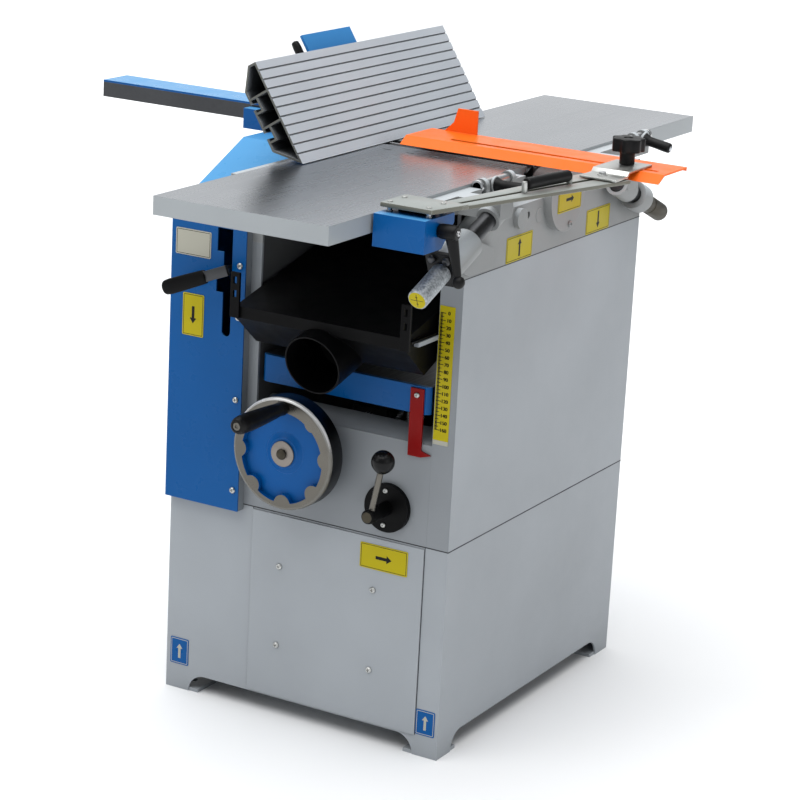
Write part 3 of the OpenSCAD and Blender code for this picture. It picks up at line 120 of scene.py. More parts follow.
sheet = bmesh.new()
bmesh.ops.create_grid(sheet, x_segments=1, y_segments=1, size=FLOOR_SIZE)
floor_mesh = bpy.data.meshes.new("floor")
sheet.to_mesh(floor_mesh)
sheet.free()
floor = placed("floor", floor_mesh)

# %% [markdown]
# ## Helpers for finishes
# Every finish is a small node tree on Object coordinates, so a pattern stays on its piece when the piece
# moves. A finish needs few tools: a noise for the grain, a ramp that turns grain into shades, a bump for
# the relief, and a rounded-edge reading that finds the arrises, where paint is thin and metal is polished.

# %% Helpers for finishes
EVEN, DRAWN = (1.0, 1.0, 1.0), (1.0, 0.2, 1.0)


def shade(red, green, blue):
    """A screen colour, 0 to 255, as the linear colour that a shader takes."""
    def linear(v):
        v /= 255.0
        return v / 12.92 if v <= 0.04045 else ((v + 0.055) / 1.055) ** 2.4
    return (linear(red), linear(green), linear(blue), 1.0)


def surface_of(finish):
    """The surface shader of a finish."""
    return finish.node_tree.nodes["Principled BSDF"]


def feed(finish, node, inputs):
    """Give a node its inputs: a socket is linked, anything else is a fixed value."""
    for name, value in inputs.items():
        if isinstance(value, bpy.types.NodeSocket):
            finish.node_tree.links.new(value, node.inputs[name])
        else:
            node.inputs[name].default_value = value


def add(finish, kind, inputs, **settings):
    """Add a node to a finish and return its outputs."""
    node = finish.node_tree.nodes.new("ShaderNode" + kind)
    for name, value in settings.items():
        setattr(node, name, value)
    feed(finish, node, inputs)
    return node.outputs


def new_finish(name, metallic=0.0, shine=0.5):
    """A new node material."""
    finish = bpy.data.materials.new(name)
    finish.use_nodes = True
    feed(finish, surface_of(finish), {"Metallic": metallic, "Specular IOR Level": shine})
    return finish


def grain(finish, scale, detail=2.0, stretch=EVEN):
    """Noise on Object coordinates; stretch draws it out along the way a tool ran."""
    spot = add(finish, "TexCoord", {})["Object"]
    drawn = add(finish, "Mapping", {"Vector": spot, "Scale": stretch})["Vector"]
    return add(finish, "TexNoise", {"Vector": drawn, "Scale": scale, "Detail": detail})["Fac"]


def ramp(finish, factor, *stops):
    """A colour ramp with (position, colour) stops."""
    node = finish.node_tree.nodes.new("ShaderNodeValToRGB")
    points = node.color_ramp.elements
    while len(points) < len(stops):
        points.new(0.5)
    for point, (position, colour) in zip(points, stops):
        point.position = position
        point.color = colour
    feed(finish, node, {"Fac": factor})
    return node.outputs["Color"]


def spread(finish, factor, low, high, start=0.3, end=0.7):
    """Map a value from the range start to end onto the range low to high."""
    ends = {"From Min": start, "From Max": end, "To Min": low, "To Max": high}
    return add(finish, "MapRange", {"Value": factor, **ends})["Result"]


def both(finish, first, second):
    """The product of two factors: 1 only where both are."""
    return add(finish, "Math", {0: first, 1: second}, operation="MULTIPLY")["Value"]


def blend_colours(finish, factor, first, second):
    """Mix two colours, each a socket or a fixed colour; the node's inputs 6 and 7 take colours."""
    return add(finish, "Mix", {0: factor, 6: first, 7: second}, data_type="RGBA")[2]


def recolour(finish, factor, colour):
    """Lay a colour over what a finish shows so far, as much as a factor says."""
    shown = surface_of(finish).inputs["Base Color"].links[0].from_socket
    feed(finish, surface_of(finish), {"Base Color": blend_colours(finish, factor, shown, colour)})


def coat(finish, base, rough, height, strength, depth, arris):
    """Give a finish its colour, its roughness and a relief over softened arrises."""
    soft = add(finish, "Bevel", {"Radius": arris}, samples=4)["Normal"]
    bump = {"Strength": strength, "Distance": depth, "Height": height, "Normal": soft}
    skin = {"Base Color": base, "Roughness": rough, "Normal": add(finish, "Bump", bump)["Normal"]}
    feed(finish, surface_of(finish), skin)


def arrises(finish, radius):
    """1 along the arrises of a solid and 0 on its flats."""
    soft = add(finish, "Bevel", {"Radius": radius}, samples=4)["Normal"]
    flat = add(finish, "NewGeometry", {})["Normal"]
    match = add(finish, "VectorMath", {0: soft, 1: flat}, operation="DOT_PRODUCT")["Value"]
    return spread(finish, match, 1.0, 0.0, 0.93, 0.998)


pale = new_finish("pale_floor")
pale_shades = ramp(pale, grain(pale, 1.5), (0.3, shade(236, 237, 238)), (0.7, shade(240, 241, 242)))
feed(pale, surface_of(pale), {"Base Color": pale_shades, "Roughness": 0.8})
floor_mesh.materials.append(pale)
print("floor finish:", pale.name)

# %% [markdown]
# ## Paint
# The cabinet is stove enamelled: an even colour with a faint orange peel, a little cloudiness, and arrises
# that catch the light. Castings carry a similar grey over a coarser, sandy skin. One function makes all the
# paints, because they differ only in colour, gloss and skin. The hollows are painted darker, for dust and
# as painted shade, where a cavity reading, which looks how much of the sky a point can see, finds them.
# Some paints also get a painted highlight: a lighter colour on faces that look up, where the light falls.


# %% Paints
def tint(colour, factor, lift=0.0):
    """A colour made darker or lighter."""
    return tuple(min(1.0, c * factor + lift) for c in colour[:3]) + (1.0,)


def hollows(finish, reach, start, end):
    """1 where other faces stand close by and 0 in the open."""
    open_sky = add(finish, "AmbientOcclusion", {"Distance": reach}, samples=4)["AO"]
    return spread(finish, open_sky, 1.0, 0.0, start, end)


def reading(finish, kind, axis):
    """One axis of a face's Normal or of a point's Object coordinates."""
    spot = add(finish, "TexCoord", {})[kind]
    return add(finish, "SeparateXYZ", {"Vector": spot})[axis]


def looking(finish, axis, start, end):
    """0 to 1 as a face turns along an axis of its object, such as Z for faces that look up."""
    return spread(finish, reading(finish, "Normal", axis), 0.0, 1.0, start, end)


def paint(name, colour, gloss, shine, skin=900.0, skin_depth=0.05, worn=None, cloud=0.06, lit_top=None):
    """Enamel: cloudy colour, dust and painted shade in hollows, orange peel, worn arrises, perhaps painted
    lit tops.
    """
    finish = new_finish(name, shine=shine)
    shades = (0.32, tint(colour, 1.0 - cloud)), (0.68, tint(colour, 1.0 + cloud))
    base = ramp(finish, grain(finish, 5.0, 4.0), *shades)
    rough = spread(finish, grain(finish, 40.0, 3.0), gloss - 0.05, gloss + 0.07)
    coat(finish, base, rough, grain(finish, skin), skin_depth, 0.001, 0.0008)
    # Painted light: faces that look up take a lighter colour, as if lit from above.
    if lit_top:
        recolour(finish, looking(finish, "Z", 0.1, 0.8), lit_top)
    # Dust and painted shade: hollows turn darker.
    recolour(finish, hollows(finish, 0.05, 0.35, 0.9), tint(colour, 0.78))
    recolour(finish, arrises(finish, 0.0009), worn or tint(colour, 1.2, 0.02))
    return finish


# Painted light: castings and the blue parts get a lighter colour on faces that look up.
CABINET_COLOUR, CASTING_LIT_TOP = shade(154, 159, 164), shade(186, 192, 196)
cabinet_grey = paint("cabinet_grey", CABINET_COLOUR, 0.40, 0.36)
casting_grey = paint("casting_grey", shade(140, 142, 142), 0.46, 0.3, 320.0, 0.14, lit_top=CASTING_LIT_TOP)
machine_blue = paint("machine_blue", shade(0, 80, 144), 0.30, 0.16, lit_top=shade(82, 152, 204))
# Painted light: the fence's tilt plate gets a lighter blue than the other blue parts, as it faces the light.
lit_plate_blue = paint("lit_plate_blue", shade(40, 118, 186), 0.34, 0.2, lit_top=shade(70, 146, 206))
wheel_blue = paint("wheel_blue", shade(0, 82, 150), 0.36, 0.16, 260.0, 0.16)
black_paint = paint("black_paint", shade(4, 4, 5), 0.46, 0.1, 700.0, 0.08, shade(22, 22, 24), 0.2)
guard_orange = paint("guard_orange", shade(255, 110, 30), 0.34, 0.14, 1100.0, 0.02, shade(255, 134, 60), 0.03)
pointer_red = paint("pointer_red", shade(128, 5, 4), 0.42, 0.14, 900.0, 0.04)
# Painted light: the arm plate is dark on its sides and painted lighter on top.
arm_plate = paint("arm_plate", shade(104, 103, 92), 0.38, 0.4, 600.0, 0.05, shade(170, 172, 166),
                  lit_top=shade(148, 153, 150))
plate_cream = paint("plate_cream", shade(168, 166, 152), 0.42, 0.5, 600.0, 0.05)
notice_yellow = paint("notice_yellow", shade(178, 163, 0), 0.44, 0.2, 800.0, 0.02, None, 0.04)
print("paints:", cabinet_grey.name, "to", notice_yellow.name)

# %% [markdown]
# The inside of the machine is painted a dark grey as painted shade, so the opening looks deep. The columns
# and the heads are single solids with an outer and an inner face, and one finish has to show both. A span
# of the Object coordinates, worked out from the frame, tells inner faces from outer ones. The fronts of the
# upper cabinet get painted shade from the tables above, and the right edge of the drive cover takes the
# cabinet's grey.

# %% Enamel outside, painted shade inside
BORDER, REACH, FAR = 0.0005, 0.0012, 1.0
COLUMN_SKIN, COVER_SKIN, COVER_EDGE_TOP, LINED_SHINE = 0.004, 0.002, 0.70, 0.06


def inside(finish, axis, low, high):
    """1 where a coordinate lies between two values in metres, with a soft border of 1 mm."""
    place = reading(finish, "Object", axis)
    return both(finish, spread(finish, place, 0.0, 1.0, low - BORDER, low + BORDER),
                spread(finish, place, 1.0, 0.0, high - BORDER, high + BORDER))


def lined(name, source, dark, light, *spans):
    """A copy of a paint that turns into another one where every coordinate named lies in its span."""
    finish = source.copy()
    finish.name = name
    within = inside(finish, *spans[0])
    for span in spans[1:]:
        within = both(finish, within, inside(finish, *span))
    recolour(finish, within, ramp(finish, grain(finish, 9.0, 4.0), (0.3, dark), (0.7, light)))
    shine = surface_of(finish).inputs["Specular IOR Level"].default_value
    dulled = spread(finish, within, shine, LINED_SHINE, 0.0, 1.0)
    feed(finish, surface_of(finish), {"Specular IOR Level": dulled})
    return finish


opening_low, opening_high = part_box("aprons")
room = (("X", opening_low.x - REACH, opening_high.x + REACH),
        ("Y", opening_low.y + COLUMN_SKIN, -opening_low.y - COLUMN_SKIN))
# Painted shade: the inner faces get a dark grey, for the shade inside the machine.
inside_shade = shade(76, 77, 78), shade(90, 91, 92)
shaded_inside_grey = lined("shaded_inside_grey", cabinet_grey, *inside_shade, *room)
shaded_inside_casting = lined("shaded_inside_casting", casting_grey, *inside_shade, *room)
# Painted shade: the fronts of the upper cabinet are painted darker, for the shade under the tables.
upper_front_shade = both(shaded_inside_grey, looking(shaded_inside_grey, "Y", -0.8, -0.95),
                   inside(shaded_inside_grey, "Y", -FAR, opening_low.y + 2 * BORDER))
recolour(shaded_inside_grey, upper_front_shade, tint(CABINET_COLOUR, 0.72))
cover_low, cover_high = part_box("drive_cover")
framed_blue = lined("framed_blue", machine_blue, shade(128, 133, 138), shade(134, 139, 144),
                    ("Y", cover_low.y + COVER_SKIN, FAR), ("X", cover_high.x - REACH, FAR),
                    ("Z", 0.0, COVER_EDGE_TOP))
print("opening from", round(opening_low.x, 3), "to", round(opening_high.x, 3), "m")

# %% [markdown]
# ## Metal
# Ground iron shows fine lines along the feed, because the table moves under the grinding wheel that way,
# and oil leaves soft darker patches. Drawn bars and the fence profile are brushed along their length. A
# noise that is stretched along one axis gives all of them, and it drives both roughness and relief. Corners
# of bare metal get painted shade. The wheel's outer edge gets a painted white highlight where it looks up,
# and the fence profile gets painted shade on its sawn ends that face the front and in its cells.


# %% Metals
def metal(name, colour, rough, stretch, scale=260.0, depth=0.05, stain=0.12, metallic=1.0):
    """Bare metal with tool lines along one axis, faint stains, painted shade in corners and polished arrises.
    """
    finish = new_finish(name, metallic)
    shades = (0.34, tint(colour, 1.0 - stain)), (0.62, tint(colour, 1.0 + stain / 2))
    lines = grain(finish, scale, 3.0, stretch)
    coat(finish, ramp(finish, grain(finish, 7.0, 5.0), *shades),
         spread(finish, lines, rough - 0.07, rough + 0.09), lines, depth, 0.0006, 0.0006)
    # Painted shade: corners of bare metal turn darker.
    recolour(finish, hollows(finish, 0.008, 0.25, 0.8), tint(colour, 0.3))
    recolour(finish, arrises(finish, 0.0007), tint(colour, 1.15, 0.03))
    return finish


bright_steel = metal("bright_steel", shade(196, 197, 198), 0.30, (1.0, 0.05, 1.0))
dark_steel = metal("dark_steel", shade(74, 75, 77), 0.40, (1.0, 0.06, 1.0))
zinc_plate = metal("zinc_plate", shade(200, 201, 198), 0.40, (1.0, 0.3, 1.0), 90.0)
chrome = metal("chrome", shade(196, 198, 202), 0.16, (1.0, 0.4, 1.0), 60.0, 0.01, 0.05)
turned_steel = metal("turned_steel", shade(104, 101, 95), 0.30, EVEN, 30.0, 0.01, 0.08)
rim_steel = metal("rim_steel", shade(52, 53, 55), 0.34, (1.0, 0.4, 1.0), 60.0, 0.01, 0.05)
sleeve_steel = metal("sleeve_steel", shade(74, 70, 61), 0.50, DRAWN, 120.0)
brown_steel = metal("brown_steel", shade(138, 132, 126), 0.42, DRAWN, 120.0)
# Painted shade: the thicknessing table's iron is darker, for the shade under the hood.
shaded_iron = metal("shaded_iron", shade(84, 86, 89), 0.42, (1.0, 0.02, 1.0), 330.0, 0.01, 0.1)
edge_chrome_highlight = metal("edge_chrome_highlight", shade(110, 108, 102), 0.22, EVEN, 30.0, 0.01, 0.05, 0.4)
# Painted highlight: the edge is painted white where it looks up.
recolour(edge_chrome_highlight, looking(edge_chrome_highlight, "Z", 0.1, 0.6), (1.0, 1.0, 1.0, 1.0))
anodised = metal("anodised", shade(204, 210, 217), 0.50, (1.0, 0.01, 1.0), 420.0, 0.03, 0.04, 0.35)
# Painted shade: the sawn ends that face the front and the cells of the profile are painted darker.
recolour(anodised, looking(anodised, "Y", -0.9, -0.98), shade(96, 97, 92))
recolour(anodised, hollows(anodised, 0.06, 0.25, 0.7), shade(62, 65, 68))

knurled_alloy = new_finish("knurled_alloy", 0.55)
speckle = grain(knurled_alloy, 330.0)
knurl_shades = (0.36, shade(132, 137, 140)), (0.50, shade(158, 163, 167)), (0.64, shade(184, 189, 193))
coat(knurled_alloy, ramp(knurled_alloy, speckle, *knurl_shades), spread(knurled_alloy, speckle, 0.34, 0.66),
     speckle, 0.5, 0.0008, 0.0006)
print("metals:", bright_steel.name, "to", knurled_alloy.name)

# %% [markdown]
# The planer tables are cast iron. Only the top is ground bright; the edges and the underside keep their
# grey paint. The surface's own upward direction tells the two apart, so one finish serves the whole
# casting, with iron where it looks up and paint everywhere else.

# %% Ground iron over painted edges
ground_iron = new_finish("ground_iron")
bare = looking(ground_iron, "Z", 0.97, 0.99)
iron_shades = (0.30, shade(140, 144, 149)), (0.52, shade(150, 154, 159)), (0.70, shade(159, 163, 168))
iron_stains = ramp(ground_iron, grain(ground_iron, 4.0, 6.0, (1.0, 0.5, 1.0)), *iron_shades)
edge_shades = (0.3, shade(150, 155, 158)), (0.7, shade(158, 163, 166))
edge_paint = ramp(ground_iron, grain(ground_iron, 6.0, 4.0), *edge_shades)
grind = grain(ground_iron, 330.0, 3.0, (1.0, 0.012, 1.0))
grind = blend_colours(ground_iron, bare, (0.5, 0.5, 0.5, 1.0), grind)
coat(ground_iron, blend_colours(ground_iron, bare, edge_paint, iron_stains),
     spread(ground_iron, grind, 0.26, 0.30), grind, 0.003, 0.0004, 0.0009)
feed(ground_iron, surface_of(ground_iron), {"Metallic": bare})
print("ground tables:", ground_iron.name)

# %% [markdown]
# ## Plastic and rubber
# Grips and knobs are moulded in black plastic: nearly black, satin, with a fine spark-eroded texture that
# scatters the highlight. The belt and the sealing strips are rubber, duller and a little dusty. Printing
# ink is made the same way.


# %% Plastic and rubber
def moulded(name, colour, rough, shine, texture=1400.0, depth=0.12):
    """Moulded plastic with a fine mould texture and rubbed arrises."""
    finish = new_finish(name, shine=shine)
    base = ramp(finish, grain(finish, 18.0, 4.0), (0.4, colour), (0.75, tint(colour, 1.25, 0.003)))
    satin = spread(finish, grain(finish, 60.0), rough - 0.04, rough + 0.08)
    coat(finish, base, satin, grain(finish, texture, 1.0), depth, 0.0004, 0.0006)
    recolour(finish, arrises(finish, 0.0008), tint(colour, 1.5, 0.01))
    return finish


black_plastic = moulded("black_plastic", shade(9, 9, 10), 0.40, 0.2)
ball_plastic = moulded("ball_plastic", shade(10, 10, 11), 0.22, 0.2, 900.0, 0.02)
belt_rubber = moulded("belt_rubber", shade(30, 30, 30), 0.62, 0.5, 700.0, 0.3)
seal_rubber = moulded("seal_rubber", shade(34, 36, 40), 0.7, 0.5, 700.0, 0.1)
notice_ink = moulded("notice_ink", shade(7, 7, 6), 0.5, 0.2)
print("plastics:", black_plastic.name, ball_plastic.name, belt_rubber.name)

# %% [markdown]
# ## Dress the construction solids
# A solid whose shape is already right only needs its finish. Each name below is a node of the frame; its
# material slots all take the one finish, and nothing is moved.

# %% Dress the solids
dressed = {
    cabinet_grey: "base_frame base_panel",
    shaded_inside_grey: "column_left column_right aprons lift_bridge",
    casting_grey: "bearing_cover infeed_cheeks outfeed_cheeks infeed_bush outfeed_bush fence_saddle",
    shaded_inside_casting: "head_left head_right",
    framed_blue: "drive_cover",
    machine_blue: "table_beams fence_holder fence_cover guard_pivot motor",
    lit_plate_blue: "fence_tilt_plate",
    wheel_blue: "handwheel_web",
    black_paint: "chip_hood hood_straps clamp_flange clamp_lever feed_lever",
    guard_orange: "bridge_guard",
    pointer_red: "depth_pointer",
    ground_iron: "infeed_table outfeed_table",
    shaded_iron: "thickness_table",
    bright_steel: "cutter_bearings cutter_knives infeed_roller outfeed_roller lift_screw handwheel_shaft "
                  "guard_shaft cabinet_screws",
    dark_steel: "fence_bar motor_pulley outfeed_adjuster cutterblock kickback_fingers",
    zinc_plate: "guard_bracket",
    arm_plate: "guard_arm",
    chrome: "handwheel_rim",
    anodised: "fence_profile infeed_adjuster",
    black_plastic: "handwheel_grip infeed_lock outfeed_lock fence_lever guard_clamp_lever arm_grip "
                   "guard_knob",
    notice_yellow: "label_plates depth_scale",
    belt_rubber: "drive_belt",
}
count = 0
for finish, names in dressed.items():
    for name in names.split():
        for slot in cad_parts[name].material_slots:
            slot.material = finish
        count += 1
print("dressed", count, "of", len(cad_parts), "solids")

# %% [markdown]
# ## Helpers for places and shapes
# All sizes below are in millimetres. `corners` and `middle` read a place from the frame, and `aim` stands a
# part up along any direction there. Most small parts of a machine are turned, sawn or moulded, so a few
# helpers cover them. `turned` spins a half profile like work in a lathe, after rounding its corners; `pin`
# and `ring` are its plainest profiles.


# %% Helpers for places and turned shapes
def corners(node):
    """The lower and the upper corner of a node's box, in millimetres."""
    low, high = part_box(node)
    return low / MM, high / MM


def middle(node):
    """The middle of a node's box, in millimetres."""
    low, high = corners(node)
    return (low + high) / 2


def shift(x, y, z):
    """Matrix that moves a part by millimetres."""
    return Matrix.Translation(Vector((x, y, z)) * MM)


def aim(place, direction):
    """Matrix that stands a part's Z axis along a direction at a place in millimetres."""
    return shift(*place) @ Vector(direction).to_track_quat("Z", "Y").to_matrix().to_4x4()


def put(work, matrix):
    """Move a shape to its place in its own mesh."""
    bmesh.ops.transform(work, matrix=matrix, verts=work.verts[:])
    return work


def turned(points, rounding=0.0, closed=False, steps=64):
    """Turn a half profile of (radius, height) points in millimetres round the Z axis."""
    work = bmesh.new()
    chain = [work.verts.new((radius * MM, 0.0, height * MM)) for radius, height in points]
    for pair in zip(chain, chain[1:] + (chain[:1] if closed else [])):
        work.edges.new(pair)
    if rounding:
        bmesh.ops.bevel(work, geom=chain if closed else chain[1:-1], offset=rounding * MM, affect="VERTICES",
                        offset_type="OFFSET", segments=4, profile=0.5, material=-1, clamp_overlap=True)
    bmesh.ops.spin(work, geom=work.verts[:] + work.edges[:], axis=(0, 0, 1), cent=(0, 0, 0),
                   angle=2 * math.pi, steps=steps, use_merge=True)
    bmesh.ops.remove_doubles(work, verts=work.verts[:], dist=1e-6)
    bmesh.ops.recalc_face_normals(work, faces=work.faces[:])
    return work


def pin(radius, low, high, rounding=0.0, steps=64):
    """A round bar from one height to another."""
    return turned([(0, low), (radius, low), (radius, high), (0, high)], rounding, steps=steps)


def ring(inner, outer, low, high, rounding, steps=64):
    """A round bar with a bore."""
    profile = [(inner, low), (outer, low), (outer, high), (inner, high)]
    return turned(profile, rounding, closed=True, steps=steps)


def round_side(radius, height, *degrees):
    """The part of a ball's half profile between two angles, counted from its lowest point."""
    turns = [math.radians(degree) for degree in range(*degrees)]
    return [(radius * math.sin(turn), height - radius * math.cos(turn)) for turn in turns]


print("places and turned shapes are ready")

# %% [markdown]
# `block` starts from a cube, `slab` from an outline and `prism` from a circle whose points move in and out;
# a bevel softens their edges. `carve` cuts one closed shape out of another with a Boolean, which is quicker
# than joining the edges of a slot by hand, and `peel` splits faces off, so that they can take a finish of
# their own. `piece` joins the parts, puts them in place and says which body they ride on.


# %% Helpers for sawn shapes and pieces
SIDE_VIEW = Matrix(((0, 0, 1, 0), (1, 0, 0, 0), (0, 1, 0, 0), (0, 0, 0, 1)))


def soften_edges(work, radius, segments=2):
    """Bevel every sharp edge of a shape by a radius in millimetres."""
    sharp = [edge for edge in work.edges if edge.is_manifold and edge.calc_face_angle() > 0.5]
    bmesh.ops.bevel(work, geom=sharp, offset=radius * MM, offset_type="OFFSET", affect="EDGES",
                    segments=segments, profile=0.5, material=-1, clamp_overlap=True)
    return work


def raised(work, height):
    """Raise a flat face along Z into a solid."""
    risen = bmesh.ops.extrude_face_region(work, geom=work.faces[:])["geom"]
    upper = [part for part in risen if isinstance(part, bmesh.types.BMVert)]
    bmesh.ops.translate(work, vec=(0, 0, height * MM), verts=upper)
    bmesh.ops.recalc_face_normals(work, faces=work.faces[:])
    return work


def block(low, high, soften=0.0):
    """A box between two corners in millimetres."""
    work = bmesh.new()
    bmesh.ops.create_cube(work, size=1.0)
    low, high = Vector(low) * MM, Vector(high) * MM
    bmesh.ops.scale(work, vec=high - low, verts=work.verts[:])
    bmesh.ops.translate(work, vec=(low + high) / 2, verts=work.verts[:])
    return soften_edges(work, soften) if soften else work


def slab(outline, low, high, soften=0.0):
    """An outline of (x, y) points raised from one height to another, in millimetres."""
    work = bmesh.new()
    work.faces.new([work.verts.new((x * MM, y * MM, low * MM)) for x, y in outline])
    raised(work, high - low)
    return soften_edges(work, soften) if soften else work


def prism(segments, radius_at, low, high):
    """A capped circle whose points stand at a radius given by their angle, raised along Z, in millimetres."""
    work = bmesh.new()
    for vert in bmesh.ops.create_circle(work, cap_ends=True, segments=segments, radius=1.0)["verts"]:
        vert.co *= radius_at(math.atan2(vert.co.y, vert.co.x)) * MM
    return put(raised(work, high - low), shift(0, 0, low))


def stand_in(work):
    """A shape as an object for a moment, so that a modifier can work on it."""
    mesh = bpy.data.meshes.new("stand_in")
    work.to_mesh(mesh)
    work.free()
    return placed("stand_in", mesh)


def carve(solid, tool):
    """Cut one closed shape out of another."""
    body, cutter = stand_in(solid), stand_in(tool)
    cut = body.modifiers.new("cut", "BOOLEAN")
    cut.operation = "DIFFERENCE"
    cut.object = cutter
    result = bmesh.new()
    result.from_object(body, bpy.context.evaluated_depsgraph_get())
    for item in (body, cutter):
        mesh = item.data
        bpy.data.objects.remove(item)
        bpy.data.meshes.remove(mesh)
    return result


def peel(work, wanted):
    """Split off the faces that a test picks, as a second shape."""
    skin = work.copy()
    bmesh.ops.delete(skin, geom=[face for face in skin.faces if not wanted(face)], context="FACES")
    bmesh.ops.delete(work, geom=[face for face in work.faces if wanted(face)], context="FACES")
    return skin


def piece(name, body, parts, stands_for=(), axis=None):
    """Join (shape, finish) parts, stood along an axis if one is given, into a piece that rides on a body."""
    whole = bmesh.new()
    mesh = bpy.data.meshes.new(name)
    finishes = []
    for work, finish in parts:
        if axis:
            put(work, axis)
        if finish not in finishes:
            finishes.append(finish)
            mesh.materials.append(finish)
        for face in work.faces:
            face.material_index = finishes.index(finish)
            face.smooth = True
        step = bpy.data.meshes.new("step")
        work.to_mesh(step)
        work.free()
        whole.from_mesh(step)
        bpy.data.meshes.remove(step)
    bmesh.ops.remove_doubles(whole, verts=whole.verts[:], dist=1e-7)
    whole.to_mesh(mesh)
    whole.free()
    mesh.set_sharp_from_angle(angle=math.radians(32))
    item = placed(name, mesh)
    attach(item, body)
    if stands_for:
        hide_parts(*stands_for)
    print(name, "on", body, len(mesh.polygons), "faces")


print("sawn shapes and pieces are ready")

# %% [markdown]
# ## Handwheel
# The wheel that lifts the thicknessing table is cast, painted blue inside, and turned bright on its rim and
# front. A wavy pocket, where fingers hold, is let into the front: a circle whose points move inwards near
# eight places is raised to a prism and carved out of the turned rim. The faces are then told apart by where
# they look: the front stays bare, its outer edge gets a painted white highlight where it looks up, and the
# pocket's wall takes the blue.

# %% Handwheel rim
LOBES, FIRST_LOBE, LOBE_RADIUS, LOBE_MIDDLE = 8, -87, 12.5, 69.8
BAY_DROP, BAY_RADIUS = 5.0, 64.3
POCKET_LIMIT, EDGE_LIMIT, FRONT_DEPTH = 69.5, 74.5, 2.0


def finger_wave(angle):
    """Radius of the pocket from its own middle: a bay, or a lobe that bulges inwards."""
    nearest = BAY_RADIUS
    for lobe in range(LOBES):
        turn = math.radians(FIRST_LOBE - 360 / LOBES * lobe)
        centre = Vector((LOBE_MIDDLE * math.cos(turn), LOBE_MIDDLE * math.sin(turn) + BAY_DROP))
        along = centre.x * math.cos(angle) + centre.y * math.sin(angle)
        reach = LOBE_RADIUS ** 2 - (centre.length_squared - along ** 2)
        if along > 0 and reach > 0:
            nearest = min(nearest, along - math.sqrt(reach))
    return nearest


def from_axis(face):
    """How far the middle of a face lies from the Z axis, in millimetres."""
    return face.calc_center_median().xy.length / MM


wheel = middle("handwheel_rim")
rim_front = corners("handwheel_rim")[0].y
rim = turned([(0, 0), (74.6, 0), (77.7, -1.3), (79, -4.4), (79, -30), (70.1, -30), (70.1, -9), (0, -9)],
             0.7, steps=144)
rim = carve(rim, put(prism(288, finger_wave, -12, 3), shift(0, -BAY_DROP, 0)))
wall = peel(rim, lambda face: abs(face.normal.z) < 0.5 and from_axis(face) < POCKET_LIMIT)
front = peel(rim, lambda face: face.normal.z > 0.97 and face.calc_center_median().z > -FRONT_DEPTH * MM)
edge = peel(rim, lambda face: 0.2 < face.normal.z and from_axis(face) > EDGE_LIMIT)
rim_parts = [(rim, rim_steel), (front, turned_steel), (edge, edge_chrome_highlight), (wall, wheel_blue)]
wheel_face = aim((wheel.x, rim_front, wheel.z), FRONT)
piece("wheel_rim", "handwheel", rim_parts, ["handwheel_rim"], wheel_face)

# %% [markdown]
# The hub carries a thick washer and a bolt with a domed head, and the casting runs up to it in a soft
# fillet. The grip is a black moulding that spins on its own pin; it swells towards its end and shows the
# socket head of that pin.

# %% Handwheel hub and grip
HUB_DEPTH, GRIP_END = 4.5, 108.8
fillet = turned([(19.5, -4.6), (30, -4.6), (24.5, -3.2), (21.5, -0.4), (19.5, -0.4)], closed=True)
bolt = turned([(0, 2.5), (7.5, 2.5), (7.5, 6.2), (4, 8.2), (0, 8.4)], 1.2)
hub_parts = [(fillet, wheel_blue), (pin(18, 0, 3, 0.9), brown_steel), (bolt, sleeve_steel)]
hub_face = aim((wheel.x, rim_front + HUB_DEPTH, wheel.z), FRONT)
piece("wheel_hub", "handwheel", hub_parts, (), hub_face)


def socket_head(radius, height, key):
    """A cap screw head with its hexagon socket."""
    socket = bmesh.new()
    bmesh.ops.create_cone(socket, cap_ends=True, segments=6, radius1=key * MM, radius2=key * MM,
                          depth=height * MM, matrix=shift(0, 0, height))
    return carve(pin(radius, 0, height, 0.5, 32), socket)


grip_middle = middle("handwheel_grip")
grip = turned([(0, -8.7), (5.9, -8.7), (5.9, 0.4), (10, 0.4), (9.6, 5), (9.4, 10), (11.4, 44), (12.8, 76),
               (12.9, 95), (12, 105), (9.5, 111), (6.2, 111.8), (6.2, 109), (0, 109)], 0.8)
pin_end = put(socket_head(5.6, 2.6, 2.9), shift(0, 0, GRIP_END))
piece("wheel_grip_handle", "wheel_grip", [(grip, black_plastic), (pin_end, turned_steel)],
      ["handwheel_grip"], aim((grip_middle.x, rim_front, grip_middle.z), FRONT))

# %% [markdown]
# ## Table clamp
# A short lever with a black ball locks the thicknessing table at its height. Its steel rod is screwed into
# the ball, which has a flat there. The lever leans a little, so the shapes are made upright and stood along
# the lever's own direction.

# %% Table clamp lever
LEAN, ROD_DEPTH = math.radians(10.7), 40
clamp = middle("clamp_flange")
flange_y = corners("clamp_flange")[0].y
hub_axis = aim((clamp.x, flange_y - 0.4, clamp.z), FRONT)
rod_axis = aim((clamp.x, flange_y - ROD_DEPTH, clamp.z), (math.sin(LEAN), 0, math.cos(LEAN)))
hub = turned([(0, -28), (4.9, -28), (4.9, 0), (9.9, 0), (9.9, 47), (8.6, 49.6), (0, 49.8)], 0.8)
end = turned([(0, 49.2), (7.4, 49.2), (7.4, 50.2), (6.8, 50.6), (0, 50.6)], 0.2, steps=32)
rod = pin(4.3, 6, 70, 0.4, 32)
ball = turned([(0, 64.2), (6.5, 64.6), (8.5, 66)] + round_side(16, 80, 44, 180, 8) + [(0, 96)])
clamp_parts = [(put(hub, hub_axis), black_paint), (put(end, hub_axis), sleeve_steel),
               (put(rod, rod_axis), turned_steel), (put(ball, rod_axis), ball_plastic)]
piece("clamp_ball_lever", "table_clamp", clamp_parts, ["clamp_lever"])

